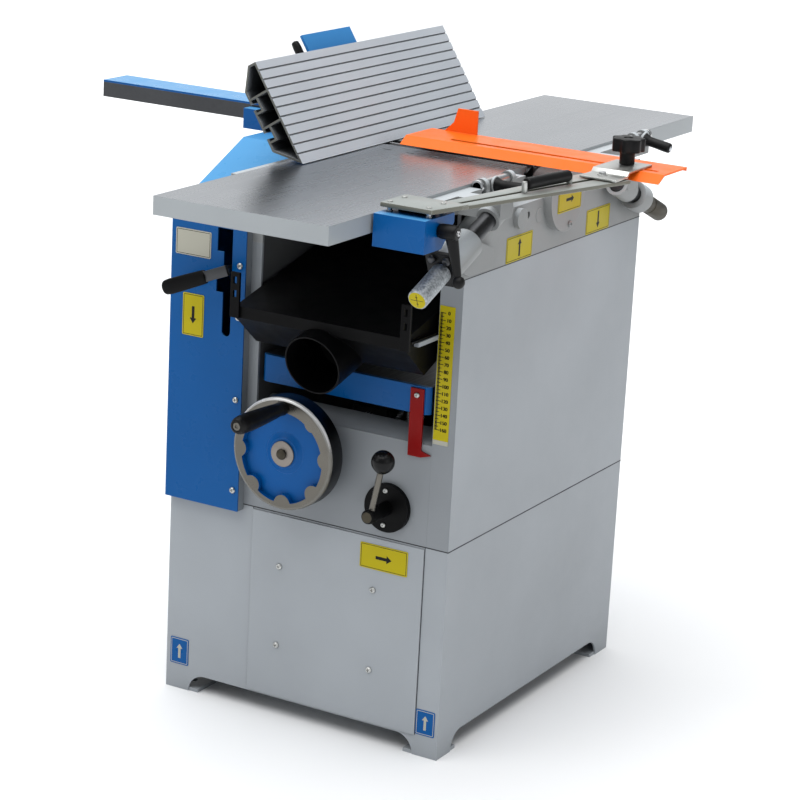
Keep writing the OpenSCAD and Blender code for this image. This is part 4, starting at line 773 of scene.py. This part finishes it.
# %% [markdown]
# ## Screws
# Sheet steel covers are held by pan head screws. One head is a turned dome with a cross carved into it;
# every such screw on the machine is a copy of it, put at its own place and facing its own way.


# %% Screw heads
def pan_head(radius=4.5, height=3.4):
    """A pan head with a cross recess."""
    dome = turned([(0, 0), (radius, 0), (radius, height * 0.35), (radius * 0.72, height * 0.85), (0, height)],
                  height * 0.3, steps=28)
    wide, deep = radius * 0.55, height * 0.45
    cross = block((-wide, -wide / 4, deep), (wide, wide / 4, height * 2))
    upright = block((-wide / 4, -wide, deep), (wide / 4, wide, height * 2))
    return carve(carve(dome, cross), upright)


def screws(places, way, finish, *size):
    """Screw heads at several places, all facing one way, each with its finish."""
    return [(put(pan_head(*size), aim(place, way)), finish) for place in places]


def circle(radius, *degrees):
    """Points on a circle at given angles, as (along, across) pairs."""
    turns = [math.radians(degree) for degree in degrees]
    return [(radius * math.cos(turn), radius * math.sin(turn)) for turn in turns]


COVER_X, DISC_HEIGHT = -112.25, 750.9
panel_low, panel_high = corners("base_panel")
panel_y, cover_y = panel_low.y, corners("drive_cover")[0].y
disc_x = corners("bearing_cover")[1].x
heads = screws([(x, panel_y, z) for x in (-38.75, 113.25) for z in (107, 224)], FRONT, zinc_plate)
heads += screws([(COVER_X, cover_y, z) for z in (324, 455)], FRONT, zinc_plate)
heads += screws([(disc_x, y, DISC_HEIGHT + z) for z, y in circle(42, -75, 168)], RIGHT, casting_grey)
piece("cover_screws", "machine", heads, ["cabinet_screws"])
flange_places = [(clamp.x + x, flange_y, clamp.z + z) for x, z in circle(24.5, 95, 263)]
trim = screws(flange_places, FRONT, zinc_plate, 3.6, 2.6)
trim += screws([(COVER_X, cover_y, z) for z in (572, 644.5)], FRONT, zinc_plate)
piece("trim_screws", "machine", trim, ())
pointer_low, pointer_high = corners("depth_pointer")
pointer_place = (pointer_low.x + 10, pointer_low.y, pointer_high.z - 9)
pointer_head = screws([pointer_place], FRONT, zinc_plate, 4.0, 3.0)
piece("pointer_screw", "thickness_lift", pointer_head, ())

# %% [markdown]
# ## Seams and caps
# The cabinet is bolted together from a lower and an upper box, and a dark line of sealing strip shows at
# each joint. On the right head, painted caps close the holes of the roller journals. Both sit on the solids
# like stickers: a strip is a long thin block, a cap is a turned disc with a soft edge.

# %% Seams and caps
PROUD, BASE_SEAM, HEAD_SEAM, PANEL_SEAM = 0.25, 0.7, 0.5, 0.5
PANEL_FOOT, SEAM_START, ROLLER_Y, ROLLER_HEIGHT = 30, -103, 62, 731.9
apron_low, apron_high = corners("aprons")
front_y, rear_y, apron_top = apron_low.y, apron_high.y, apron_high.z
base_low, base_high = corners("base_frame")
base_top, base_y = base_high.z, base_low.y
right_x, column_top = corners("column_right")[1].x, corners("column_right")[1].z
strips = [block((right_x - 1, front_y - PROUD, z - half), (right_x + PROUD, rear_y + PROUD, z + half))
          for z, half in ((base_top, BASE_SEAM), (column_top, HEAD_SEAM))]
long_seams = (SEAM_START, front_y - PROUD, front_y + 1), (base_low.x, rear_y - 1, rear_y + PROUD)
for start, low_y, high_y in long_seams:
    strips.append(block((start, low_y, base_top - BASE_SEAM), (right_x, high_y, base_top + BASE_SEAM)))
for x in (panel_low.x - PANEL_SEAM, panel_high.x + PANEL_SEAM):
    foot, top = (x - PANEL_SEAM, front_y - PROUD, PANEL_FOOT), (x + PANEL_SEAM, front_y + 1, base_top)
    strips.append(block(foot, top))
piece("cabinet_seams", "machine", [(strip, seal_rubber) for strip in strips], ())
caps = []
for y in (-ROLLER_Y, ROLLER_Y):
    cap = turned([(0, 0), (9.6, 0), (9.6, 0.5), (8.8, 0.8), (0, 0.8)], 0.2, steps=40)
    caps.append((put(cap, aim((right_x, y, ROLLER_HEIGHT), RIGHT)), casting_grey))
piece("journal_caps", "machine", caps, ())

# %% [markdown]
# The front apron's upper edge is folded back and up into the machine and turned down again, which keeps the
# thin sheet stiff. The fold is a side view, raised along Z; `SIDE_VIEW` then swaps the axes, so that it
# runs across the machine.

# %% Apron fold
FOLD_DEPTH, FOLD_RISE, FOLD_LIP, SHEET = 36.0, 14.0, 6, 1.5
fold_line = [(0, 0), (FOLD_DEPTH, FOLD_RISE), (FOLD_DEPTH, FOLD_RISE - FOLD_LIP),
             (FOLD_DEPTH - SHEET, FOLD_RISE - FOLD_LIP), (FOLD_DEPTH - SHEET, FOLD_RISE - 2 * SHEET),
             (0, -2 * SHEET)]
fold = slab(fold_line, apron_low.x + 1, apron_high.x - 1, 0.4)
piece("apron_fold", "machine", [(fold, cabinet_grey)], (),
      shift(0, front_y + 2, apron_top - 0.1) @ SIDE_VIEW)

# %% [markdown]
# A row of slots behind the lip of each planer table lets air through and keeps the cutterblock quieter.
# Seen at a flat angle they are dark dashes with shade inside, so each gets a black block as painted shade,
# which ends just below the ground face.

# %% Painted shade in the slots
SLOTS, SLOT_Y, HALF_LENGTH, HALF_WIDTH, SLOT_SHADE_DEPTH, SLOT_SHADE_GAP = 7, 54, 6.9, 1.9, 12, 0.15
for body, y in (("infeed", -SLOT_Y), ("outfeed", SLOT_Y)):
    table_low, table_high = corners(body + "_table")
    bottom, top = table_high.z - SLOT_SHADE_DEPTH, table_high.z - SLOT_SHADE_GAP
    slot_shades = []
    for number in range(SLOTS):
        x = table_low.x + (table_high.x - table_low.x) / SLOTS * (number + 0.5)
        slot_shade = block((x - HALF_LENGTH, y - HALF_WIDTH, bottom), (x + HALF_LENGTH, y + HALF_WIDTH, top), 0.2)
        slot_shades.append((slot_shade, black_paint))
    piece("slot_shades_" + body, body, slot_shades, ())

# %% [markdown]
# ## Feed lever
# A bent lever comes out of the gate in the drive cover and engages the feed rollers. Inside the cover it is
# a round rod on a sleeve; outside it is a flat bar with a flat oval grip. The oval is a turned grip pressed
# flatter along one axis with a scale.

# %% Feed lever
FEED_X, FEED_Y, FEED_Z, FEED_PIVOT, DROOP = -132.25, -314.75, 636.0, -149.75, math.radians(22)
feed_axis = aim((FEED_X, FEED_Y, FEED_Z), (-math.cos(DROOP), 0, -math.sin(DROOP)))
sleeve = put(ring(5.6, 12.1, 0, 21.4, 0.6, 40), aim((FEED_X - 11, FEED_PIVOT, FEED_Z), RIGHT))
stem = put(pin(5.5, 0, 156, 0.5, 32), aim((FEED_X, FEED_PIVOT - 8, FEED_Z), FRONT))
flat_bar = put(block((-3, -7.5, -24), (3, 7.5, 40), 1.0), feed_axis)
oval = turned([(0, 13), (9.2, 13), (9.8, 18), (10.6, 50), (11, 76), (10, 85), (6, 88.6), (0, 89)], 2.0)
bmesh.ops.scale(oval, vec=(0.6, 1, 1), verts=oval.verts[:])
piece("feed_lever_arm", "feed_switch",
      [(sleeve, dark_steel), (stem, dark_steel), (flat_bar, dark_steel), (put(oval, feed_axis), black_paint)],
      ["feed_lever"])

# %% [markdown]
# ## Depth scale
# A printed strip beside the opening shows the thickness of the board in millimetres, and the red pointer on
# the table runs along it. The lines are thin bars on the strip. A number is a text curve; it is made a mesh
# first and then moved, so its place ends up in the mesh. Each number is printed three times, a little
# apart, which makes it bold.


# %% Depth scale
def printed(text, size):
    """A number as a flat mesh, centred on its own middle."""
    curve = bpy.data.curves.new("number", "FONT")
    curve.body = text
    curve.size = size * MM
    curve.extrude = 0.05 * MM
    curve.align_x, curve.align_y = "CENTER", "CENTER"
    item = placed("number", curve)
    shown = item.evaluated_get(bpy.context.evaluated_depsgraph_get())
    flat = bmesh.new()
    flat.from_mesh(shown.to_mesh())
    shown.to_mesh_clear()
    bpy.data.objects.remove(item)
    bpy.data.curves.remove(curve)
    bmesh.ops.remove_doubles(flat, verts=flat.verts[:], dist=1e-7)
    return flat


def rounded_plate(width, height, thickness, corner):
    """A thin plate with rounded corners, centred on its back."""
    plate = block((-width / 2, -height / 2, 0), (width / 2, height / 2, thickness))
    uprights = [e for e in plate.edges if abs(e.verts[0].co.z - e.verts[1].co.z) > thickness * MM / 2]
    bmesh.ops.bevel(plate, geom=uprights, offset=corner * MM, offset_type="OFFSET", affect="EDGES",
                    segments=5, profile=0.5, material=-1)
    return plate


SCALE_LENGTH, SCALE_ZERO, MARGIN, PRINT_FACE, DIGIT_HEIGHT = 160, 629.6, 1.4, 0.66, 7.0
scale_low, scale_high = corners("depth_scale")
scale_middle = middle("depth_scale")
half, half_height = (scale_high.x - scale_low.x) / 2, (scale_high.z - scale_low.z) / 2
strip_parts = [(rounded_plate(2 * half, 2 * half_height, 0.6, 1.0), notice_yellow),
               (block((-half, -half_height, 0.5), (half, 6 - half_height, 0.62)), plate_cream)]
start = MARGIN - half
for step in range(SCALE_LENGTH + 1):
    length, thick = (8.0, 1.1) if step % 10 == 0 else (5.6, 1.0) if step % 5 == 0 else (3.4, 0.7)
    y = SCALE_ZERO - scale_middle.z - step
    line = block((start, y - thick / 2, 0.55), (start + length, y + thick / 2, PRINT_FACE))
    strip_parts.append((line, notice_ink))
    if step % 10 == 0:
        for x in (2.45, 2.8, 3.15):
            strip_parts.append((put(printed(str(step), DIGIT_HEIGHT), shift(x, y, PRINT_FACE)), notice_ink))
piece("millimetre_scale", "machine", strip_parts, ["depth_scale"],
      aim((scale_middle.x, scale_high.y, scale_middle.z), FRONT))

# %% [markdown]
# ## Bare plates
# The machine carries several thin plates for notices. Here they stay bare but for a printed border, and a
# plain arrow where a part moves. A border is a larger plate with a smaller one carved out of it.


# %% Bare plates
def arrow(length, width):
    """A plain straight arrow along X."""
    tip, shaft = length / 2, width / 5
    neck = tip - width * 0.7
    return slab([(-tip, -shaft), (neck, -shaft), (neck, -width / 2), (tip, 0), (neck, width / 2),
                 (neck, shaft), (-tip, shaft)], 0.55, 0.68)


def notice(width, height, place, way, colour, ink, sign=None):
    """A plate with a border line and perhaps an arrow at an angle in degrees."""
    face = aim(place, way)
    border = carve(rounded_plate(width - 3, height - 3, 0.68, 1.4),
                   rounded_plate(width - 4.6, height - 4.6, 2, 1.0))
    parts = [(put(rounded_plate(width, height, 0.6, 2.0), face), colour), (put(border, face), ink)]
    if sign is not None:
        turn = Matrix.Rotation(math.radians(sign), 4, "Z")
        parts.append((put(arrow(min(width, height) * 0.7, min(width, height) * 0.32), face @ turn), ink))
    return parts


side_x = corners("head_right")[1].x - 8
plates = []
for width, height, place, way, sign in (
        (75, 36, (128.25, panel_y, 272), FRONT, 0), (74, 35, (side_x, -115.5, 696.5), RIGHT, 90),
        (74, 35, (side_x, 124.0, 696.5), RIGHT, -90), (70, 33, (disc_x, 4.5, 745.9), RIGHT, 0),
        (35, 60, (-186.75, cover_y, 563.5), FRONT, -90)):
    plates += notice(width, height, place, way, notice_yellow, notice_ink, sign)
piece("notice_plates", "machine", plates, ["label_plates"])
small = notice(58, 37, (-189.5, cover_y, 665), FRONT, plate_cream, notice_ink)
for width, height, x, z in ((31, 40, -203.4, 57.5), (30, 37, 205.4, 50.5)):
    small += notice(width, height, (x, base_y, z), FRONT, machine_blue, plate_cream, 90)
piece("small_plates", "machine", small, ())

# %% [markdown]
# ## Table locks
# Each planer table is locked by a cam shaft in two lugs. A short lever turns it: a round painted flag, then
# a black grip that flares towards the flag, with a bright screw in its end.

# %% Table locks
LOCK_X, LOCK_Z, LOCK_DISC = 191.75, 783.9, 5.8


def lock_lever(name, body, node, y_grip, lift, disc_first):
    """Cam shaft along Y with a grip that stands out to the right."""
    start, end = corners(node)[0].y + 0.1, corners(node)[1].y - 0.1
    shaft = put(pin(6.9, 0, end - start, 0.8, 40), aim((LOCK_X, start, LOCK_Z), BACK))
    disc_y = start if disc_first else end - LOCK_DISC
    disc = put(pin(8.9, 0, LOCK_DISC, 0.8, 40), aim((LOCK_X, disc_y, LOCK_Z), BACK))
    lift = math.radians(lift)
    axis = aim((LOCK_X, y_grip, LOCK_Z), (math.cos(lift), 0, math.sin(lift)))
    flag = turned([(0, 4), (5, 4), (5, 8.5), (11.4, 8.5), (11.4, 12), (5, 12), (0, 12.2)], 0.7, steps=40)
    handle = turned([(0, 12), (10.2, 12), (9.4, 14.5), (7.2, 20), (7.1, 30), (7.6, 46), (7.4, 53),
                     (5.4, 54.8), (0, 54.8)], 0.8)
    cap = turned([(0, 54.2), (3.9, 54.2), (3.9, 55.2), (2.4, 56.2), (0, 56.5)], 0.3, steps=32)
    piece(name, body, [(shaft, bright_steel), (disc, bright_steel), (put(flag, axis), casting_grey),
                       (put(handle, axis), black_plastic), (put(cap, axis), chrome)], [node])


lock_lever("infeed_lock_lever", "infeed_cam", "infeed_lock", -150, 0, True)
lock_lever("outfeed_lock_lever", "outfeed_cam", "outfeed_lock", 314, -10, False)

# %% [markdown]
# ## Height adjusters
# The planer tables ride up inclined ways when these shafts are turned. The infeed one ends in a knurled
# aluminium knob with a yellow disc, marked plus and minus; the outfeed one ends in a plain dark sleeve. The
# knurl is cut for real: the knob is turned with many sides, and every other one of its points is pulled
# inwards.

# %% Infeed adjuster
SLOPE, ADJUSTER_X = math.radians(23), 247.75
KNOB_RADIUS, GROOVE_RADIUS, KNOB_SIDES = 13.5, 13.15, 120
KNURL_START, KNURL_PITCH, KNURL_ROWS = -126, 1.5, 40
infeed_axis = aim((ADJUSTER_X, -309.75, 735), (0, math.cos(SLOPE), math.sin(SLOPE)))
shaft = turned([(0, -62.6), (11.95, -62.6), (11.95, 101), (10.6, 103.4), (0, 103.4)], 0.5)
rows = [(KNOB_RADIUS, KNURL_START + KNURL_PITCH * row) for row in range(1, KNURL_ROWS + 1)]
knob = turned([(0, -128), (12.4, -128), (KNOB_RADIUS, -126.6)] + rows
              + [(KNOB_RADIUS, -64.4), (12.4, -62.8), (0, -62.8)], steps=KNOB_SIDES)
for vert in knob.verts:
    row = round((vert.co.z / MM - KNURL_START) / KNURL_PITCH)
    column = round(math.atan2(vert.co.y, vert.co.x) / (2 * math.pi) * KNOB_SIDES)
    on_side = vert.co.xy.length / MM > KNOB_RADIUS - 0.1
    if on_side and 1 <= row <= KNURL_ROWS and (row + column) % 2:
        vert.co.x *= GROOVE_RADIUS / KNOB_RADIUS
        vert.co.y *= GROOVE_RADIUS / KNOB_RADIUS
marks = [block((-9, -0.35, -128.62), (9, 0.35, -128.4)), block((-0.35, -9, -128.62), (0.35, 9, -128.4)),
         block((-1.6, 4.6, -128.64), (1.6, 5.4, -128.4)), block((-1.6, -5.4, -128.64), (1.6, -4.6, -128.4)),
         block((-0.4, 3.4, -128.64), (0.4, 6.6, -128.4))]
knob_parts = [(shaft, dark_steel), (knob, knurled_alloy), (pin(11.6, -128.5, -127.9, 0.15), notice_yellow)]
piece("infeed_knob", "infeed_screw", knob_parts + [(mark, notice_ink) for mark in marks],
      ["infeed_adjuster"], infeed_axis)
seal_parts = [(carve(block((-21.3, -21.3, -62.4), (21.3, 26.3, -54.8), 0.8), pin(12.3, -70, -50, steps=48)),
               black_plastic)]
for x in (-10.5, 10.5):
    bolt = turned([(0, 0), (5.4, 0), (5.4, 4.6), (3.6, 6.4), (0, 6.8)], 0.6, steps=32)
    seal_parts.append((put(bolt, shift(x, 19, -62.2) @ Matrix.Rotation(math.pi, 4, "X")), dark_steel))
piece("bush_seal", "machine", seal_parts, (), infeed_axis)

# %% Outfeed adjuster
outfeed_axis = aim((ADJUSTER_X, 225.75, 710), (0, -math.cos(SLOPE), math.sin(SLOPE)))
web = carve(block((-21.9, -4, 12.5), (0, 4, 39.5), 0.8), pin(14, 5, 45, steps=48))
bush_parts = [(ring(12.1, 20.9, 12, 40, 1.2), casting_grey), (ring(12.1, 13.7, -13, 14, 0.3), sleeve_steel),
              (web, casting_grey)]
piece("outfeed_bush_barrel", "machine", bush_parts, ["outfeed_bush"], outfeed_axis)
shaft = turned([(0, -13.6), (11.95, -13.6), (11.95, 101), (10.6, 103.4), (0, 103.4)], 0.5)
sleeve = turned([(0, -66), (12.3, -66), (13.5, -64.6), (13.5, -20), (12.6, -19), (12.6, -17.6), (13.5, -16.8),
                 (13.5, -13.4), (0, -13.4)], 0.5)
piece("outfeed_sleeve", "outfeed_screw", [(shaft, dark_steel), (sleeve, sleeve_steel)],
      ["outfeed_adjuster"], outfeed_axis)

# %% [markdown]
# ## Clamping levers
# The fence and the guard are clamped by moulded levers. Each has a turned hub with the head of its screw,
# and an arm that tapers into a ball or a rounded grip.

# %% Clamping levers
FENCE_X, FENCE_Y, FENCE_Z, FENCE_LEAN = -155.47, -40.3, 867.91, math.radians(32.5)
hub_axis = aim((FENCE_X, FENCE_Y, FENCE_Z), FRONT)
arm_axis = aim((FENCE_X, FENCE_Y - 5.9, FENCE_Z), (-math.sin(FENCE_LEAN), 0, math.cos(FENCE_LEAN)))
hub = put(ring(3.1, 9, 0, 11.6, 0.9, 40), hub_axis)
screw = put(ring(3.15, 5.6, 11.4, 14, 0.5, 6), hub_axis)
arm = turned([(0, 7.5), (4.6, 7.5), (3.9, 14), (4.2, 20), (5.9, 30), (6.1, 50), (5.2, 58), (0, 60)],
             1.4, steps=40)
piece("fence_clamp_handle", "fence_clamp",
      [(hub, black_plastic), (screw, bright_steel), (put(arm, arm_axis), black_plastic)],
      ["fence_lever"])

PIVOT_X, PIVOT_Y, PIVOT_Z, HANG, SPLAY = 260.55, -403, 771.9, math.radians(8), 0.15
pivot_axis = aim((PIVOT_X, PIVOT_Y, PIVOT_Z), RIGHT)
hang_axis = aim((PIVOT_X + 16.45, PIVOT_Y, PIVOT_Z), (SPLAY, math.sin(HANG), -math.cos(HANG)))
hub = turned([(0, 22.3), (6.1, 22.3), (6.1, 0), (8.6, 0), (9.6, 4), (9.9, 12), (9.9, 23), (8.4, 26),
              (0, 26)], 0.8)
screw = put(socket_head(3.4, 2.4, 1.8), shift(0, 0, 25.6))
arm = turned([(0, 6), (8.2, 6), (7.8, 14), (5.4, 48), (5.0, 57), (0, 59)], 0.8, steps=40)
bmesh.ops.scale(arm, vec=(0.72, 1, 1), verts=arm.verts[:])
ball = turned([(0, 57)] + round_side(8.2, 65, 12, 180, 12) + [(0, 73)], steps=40)
piece("pivot_clamp_handle", "pivot_clamp",
      [(put(hub, pivot_axis), black_plastic), (put(screw, pivot_axis), bright_steel),
       (put(arm, hang_axis), black_plastic), (put(ball, hang_axis), black_plastic)],
      ["guard_clamp_lever"])

# %% [markdown]
# ## Guard arm
# The bridge guard hangs on a swinging arm: a square plate on four bright spacers over the blue block, and
# two flat bars that run to the guard. Plate and bars are sawn outlines with broken edges. A black rail
# between two pins is the handle for swinging it.

# %% Guard arm
LEFT_EDGE, RIGHT_EDGE = ((241.75, -364), (290.25, -64)), ((260.25, -425), (359.25, -64))
PAD_LOW, PLATE_LOW, PLATE_TOP = 788.9, 794.9, 800.9
BAR_LOW, BAR_TOP = PLATE_LOW - 0.4, PLATE_TOP - 1.2


def along(edge, y):
    """X of a straight edge between two (x, y) points."""
    (start_x, start_y), (end_x, end_y) = edge
    return start_x + (end_x - start_x) * (y - start_y) / (end_y - start_y)


def bar(start, end, start_shares, end_shares, low, top, soften=0.0):
    """A bar along the arm; shares run from the arm's left edge (0) to its right edge (1)."""
    outline = []
    for y, shares in ((start, start_shares), (end, end_shares)):
        left, right = along(LEFT_EDGE, y), along(RIGHT_EDGE, y)
        outline += [(left + (right - left) * share, y) for share in shares]
    return slab(outline, low, top, soften)


plate = slab([(186.25, -425), (260.25, -425), (277.5, -362), (186.25, -362)], PLATE_LOW, PLATE_TOP, 0.7)
arm_parts = [(plate, arm_plate),
             (bar(-372, -64, (0.6, 1), (1, 0.56), BAR_LOW, BAR_TOP, 0.6), arm_plate),
             (bar(-372, -64, (0, 0.42), (0.44, 0), BAR_LOW, BAR_TOP, 0.6), arm_plate),
             # Painted shade: a thin dark strip under the gap between the bars stands for the shade there.
             (bar(-360, -66, (0.36, 0.64), (0.6, 0.4), BAR_LOW + 0.3, BAR_LOW + 1.8), seal_rubber),
             (block((204, -410, PAD_LOW), (244, -384, PLATE_LOW), 0.6), black_paint)]
for x in (195.25, 251.25):
    for y in (-416, -380):
        spacer = turned([(0, 0), (4.4, 0), (4.4, 1.6), (3.2, 1.9), (3.2, 4.4), (4.4, 4.7), (4.4, 6), (0, 6)],
                        steps=32)
        arm_parts.append((put(spacer, shift(x, y, PAD_LOW)), chrome))
        arm_parts.append((put(socket_head(3.4, 1.6, 1.7), shift(x, y, PLATE_TOP - 0.2)), zinc_plate))
piece("guard_arm_bars", "guard", arm_parts, ["guard_arm"])

RAIL_Z = PLATE_TOP + 11
rail_start, rail_end = Vector((294.72, -246, RAIL_Z)), Vector((310.56, -150, RAIL_Z))
length = (rail_end - rail_start).length
rail = turned([(0, 3), (7.0, 3), (7.9, 5), (7.9, length - 5), (7.0, length - 3), (0, length - 3)], 0.8)
rail_parts = [(put(rail, aim(rail_start, rail_end - rail_start)), black_plastic)]
for end in (rail_start, rail_end):
    post = turned([(0, 0), (3.9, 0), (3.9, 13), (3.2, 14.9), (0, 14.9)], 0.4, steps=32)
    rail_parts.append((put(post, shift(end.x, end.y, PLATE_TOP)), zinc_plate))
piece("arm_rail", "guard", rail_parts, ["arm_grip"])

# %% [markdown]
# ## Clamp knob
# A star knob presses the bracket on the guard. Its outline is a circle whose points swing in and out seven
# times; raised, with its edges bevelled, it becomes the moulded star on its stem.

# %% Clamp knob
STAR_HEIGHT, STAR_RADIUS, STAR_SWING, STAR_POINTS = 18, 21.2, 1.8, 7
knob_middle = middle("guard_knob")
knob_low, knob_high = corners("guard_knob")
star = prism(168, lambda angle: STAR_RADIUS + STAR_SWING * math.cos(STAR_POINTS * angle), 0, STAR_HEIGHT)
star = carve(soften_edges(star, 1.6, 3), pin(6.4, 16.8, 19, steps=48))
stem = turned([(0, 0.2), (12, 0.2), (10.4, -4), (10.4, -17.6), (0, -17.6)], 0.6, steps=48)
insert = turned([(0, 16.6), (3.6, 16.6), (3.6, 17.4), (0, 17.6)], 0.2, steps=32)
stud = turned([(0, 0), (7.9, 0), (7.9, 2.8), (3.9, 2.9), (3.9, 20), (0, 20)], 0.3, steps=32)
put(stud, shift(0, 0, knob_low.z - knob_high.z + STAR_HEIGHT))
knob_parts = [(star, black_plastic), (stem, black_plastic), (insert, black_plastic), (stud, bright_steel)]
piece("star_knob", "guard_screw", knob_parts, ["guard_knob"],
      aim((knob_middle.x, knob_middle.y, knob_high.z - STAR_HEIGHT), UP))

# %% [markdown]
# A bent plate joins arm and guard: its lower end is bolted on the arm, and after a step its upper end lies
# on the guard under the star knob. The bend is a side view again, raised across the plate's width and
# turned upright.

# %% Bracket on the guard
PLATE_START, PLATE_END, STEP_Y, PLATE, BOLT_Y = -100, 12, -62.0, 3, -80
bracket_low, bracket_high = corners("guard_bracket")
low_z, top_z = bracket_low.z, bracket_high.z
bend = [(PLATE_START, low_z), (PLATE_START, low_z + PLATE), (STEP_Y - 3.5, low_z + PLATE),
        (STEP_Y + 2.5, top_z), (PLATE_END, top_z), (PLATE_END, top_z - PLATE),
        (STEP_Y + 4.5, top_z - PLATE), (STEP_Y - 1.5, low_z)]
bent = put(slab(bend, bracket_low.x, bracket_high.x, 0.6), SIDE_VIEW)
bolt_place = shift(knob_middle.x - 3, BOLT_Y, low_z + 2.9)
washer = put(pin(7, 0, 1.4, 0.4, 40), bolt_place)
head = put(pin(5.4, 1.2, 5, 0.5, 6), bolt_place)
piece("guard_bracket_plate", "guard", [(bent, zinc_plate), (washer, zinc_plate), (head, bright_steel)],
      ["guard_bracket"])
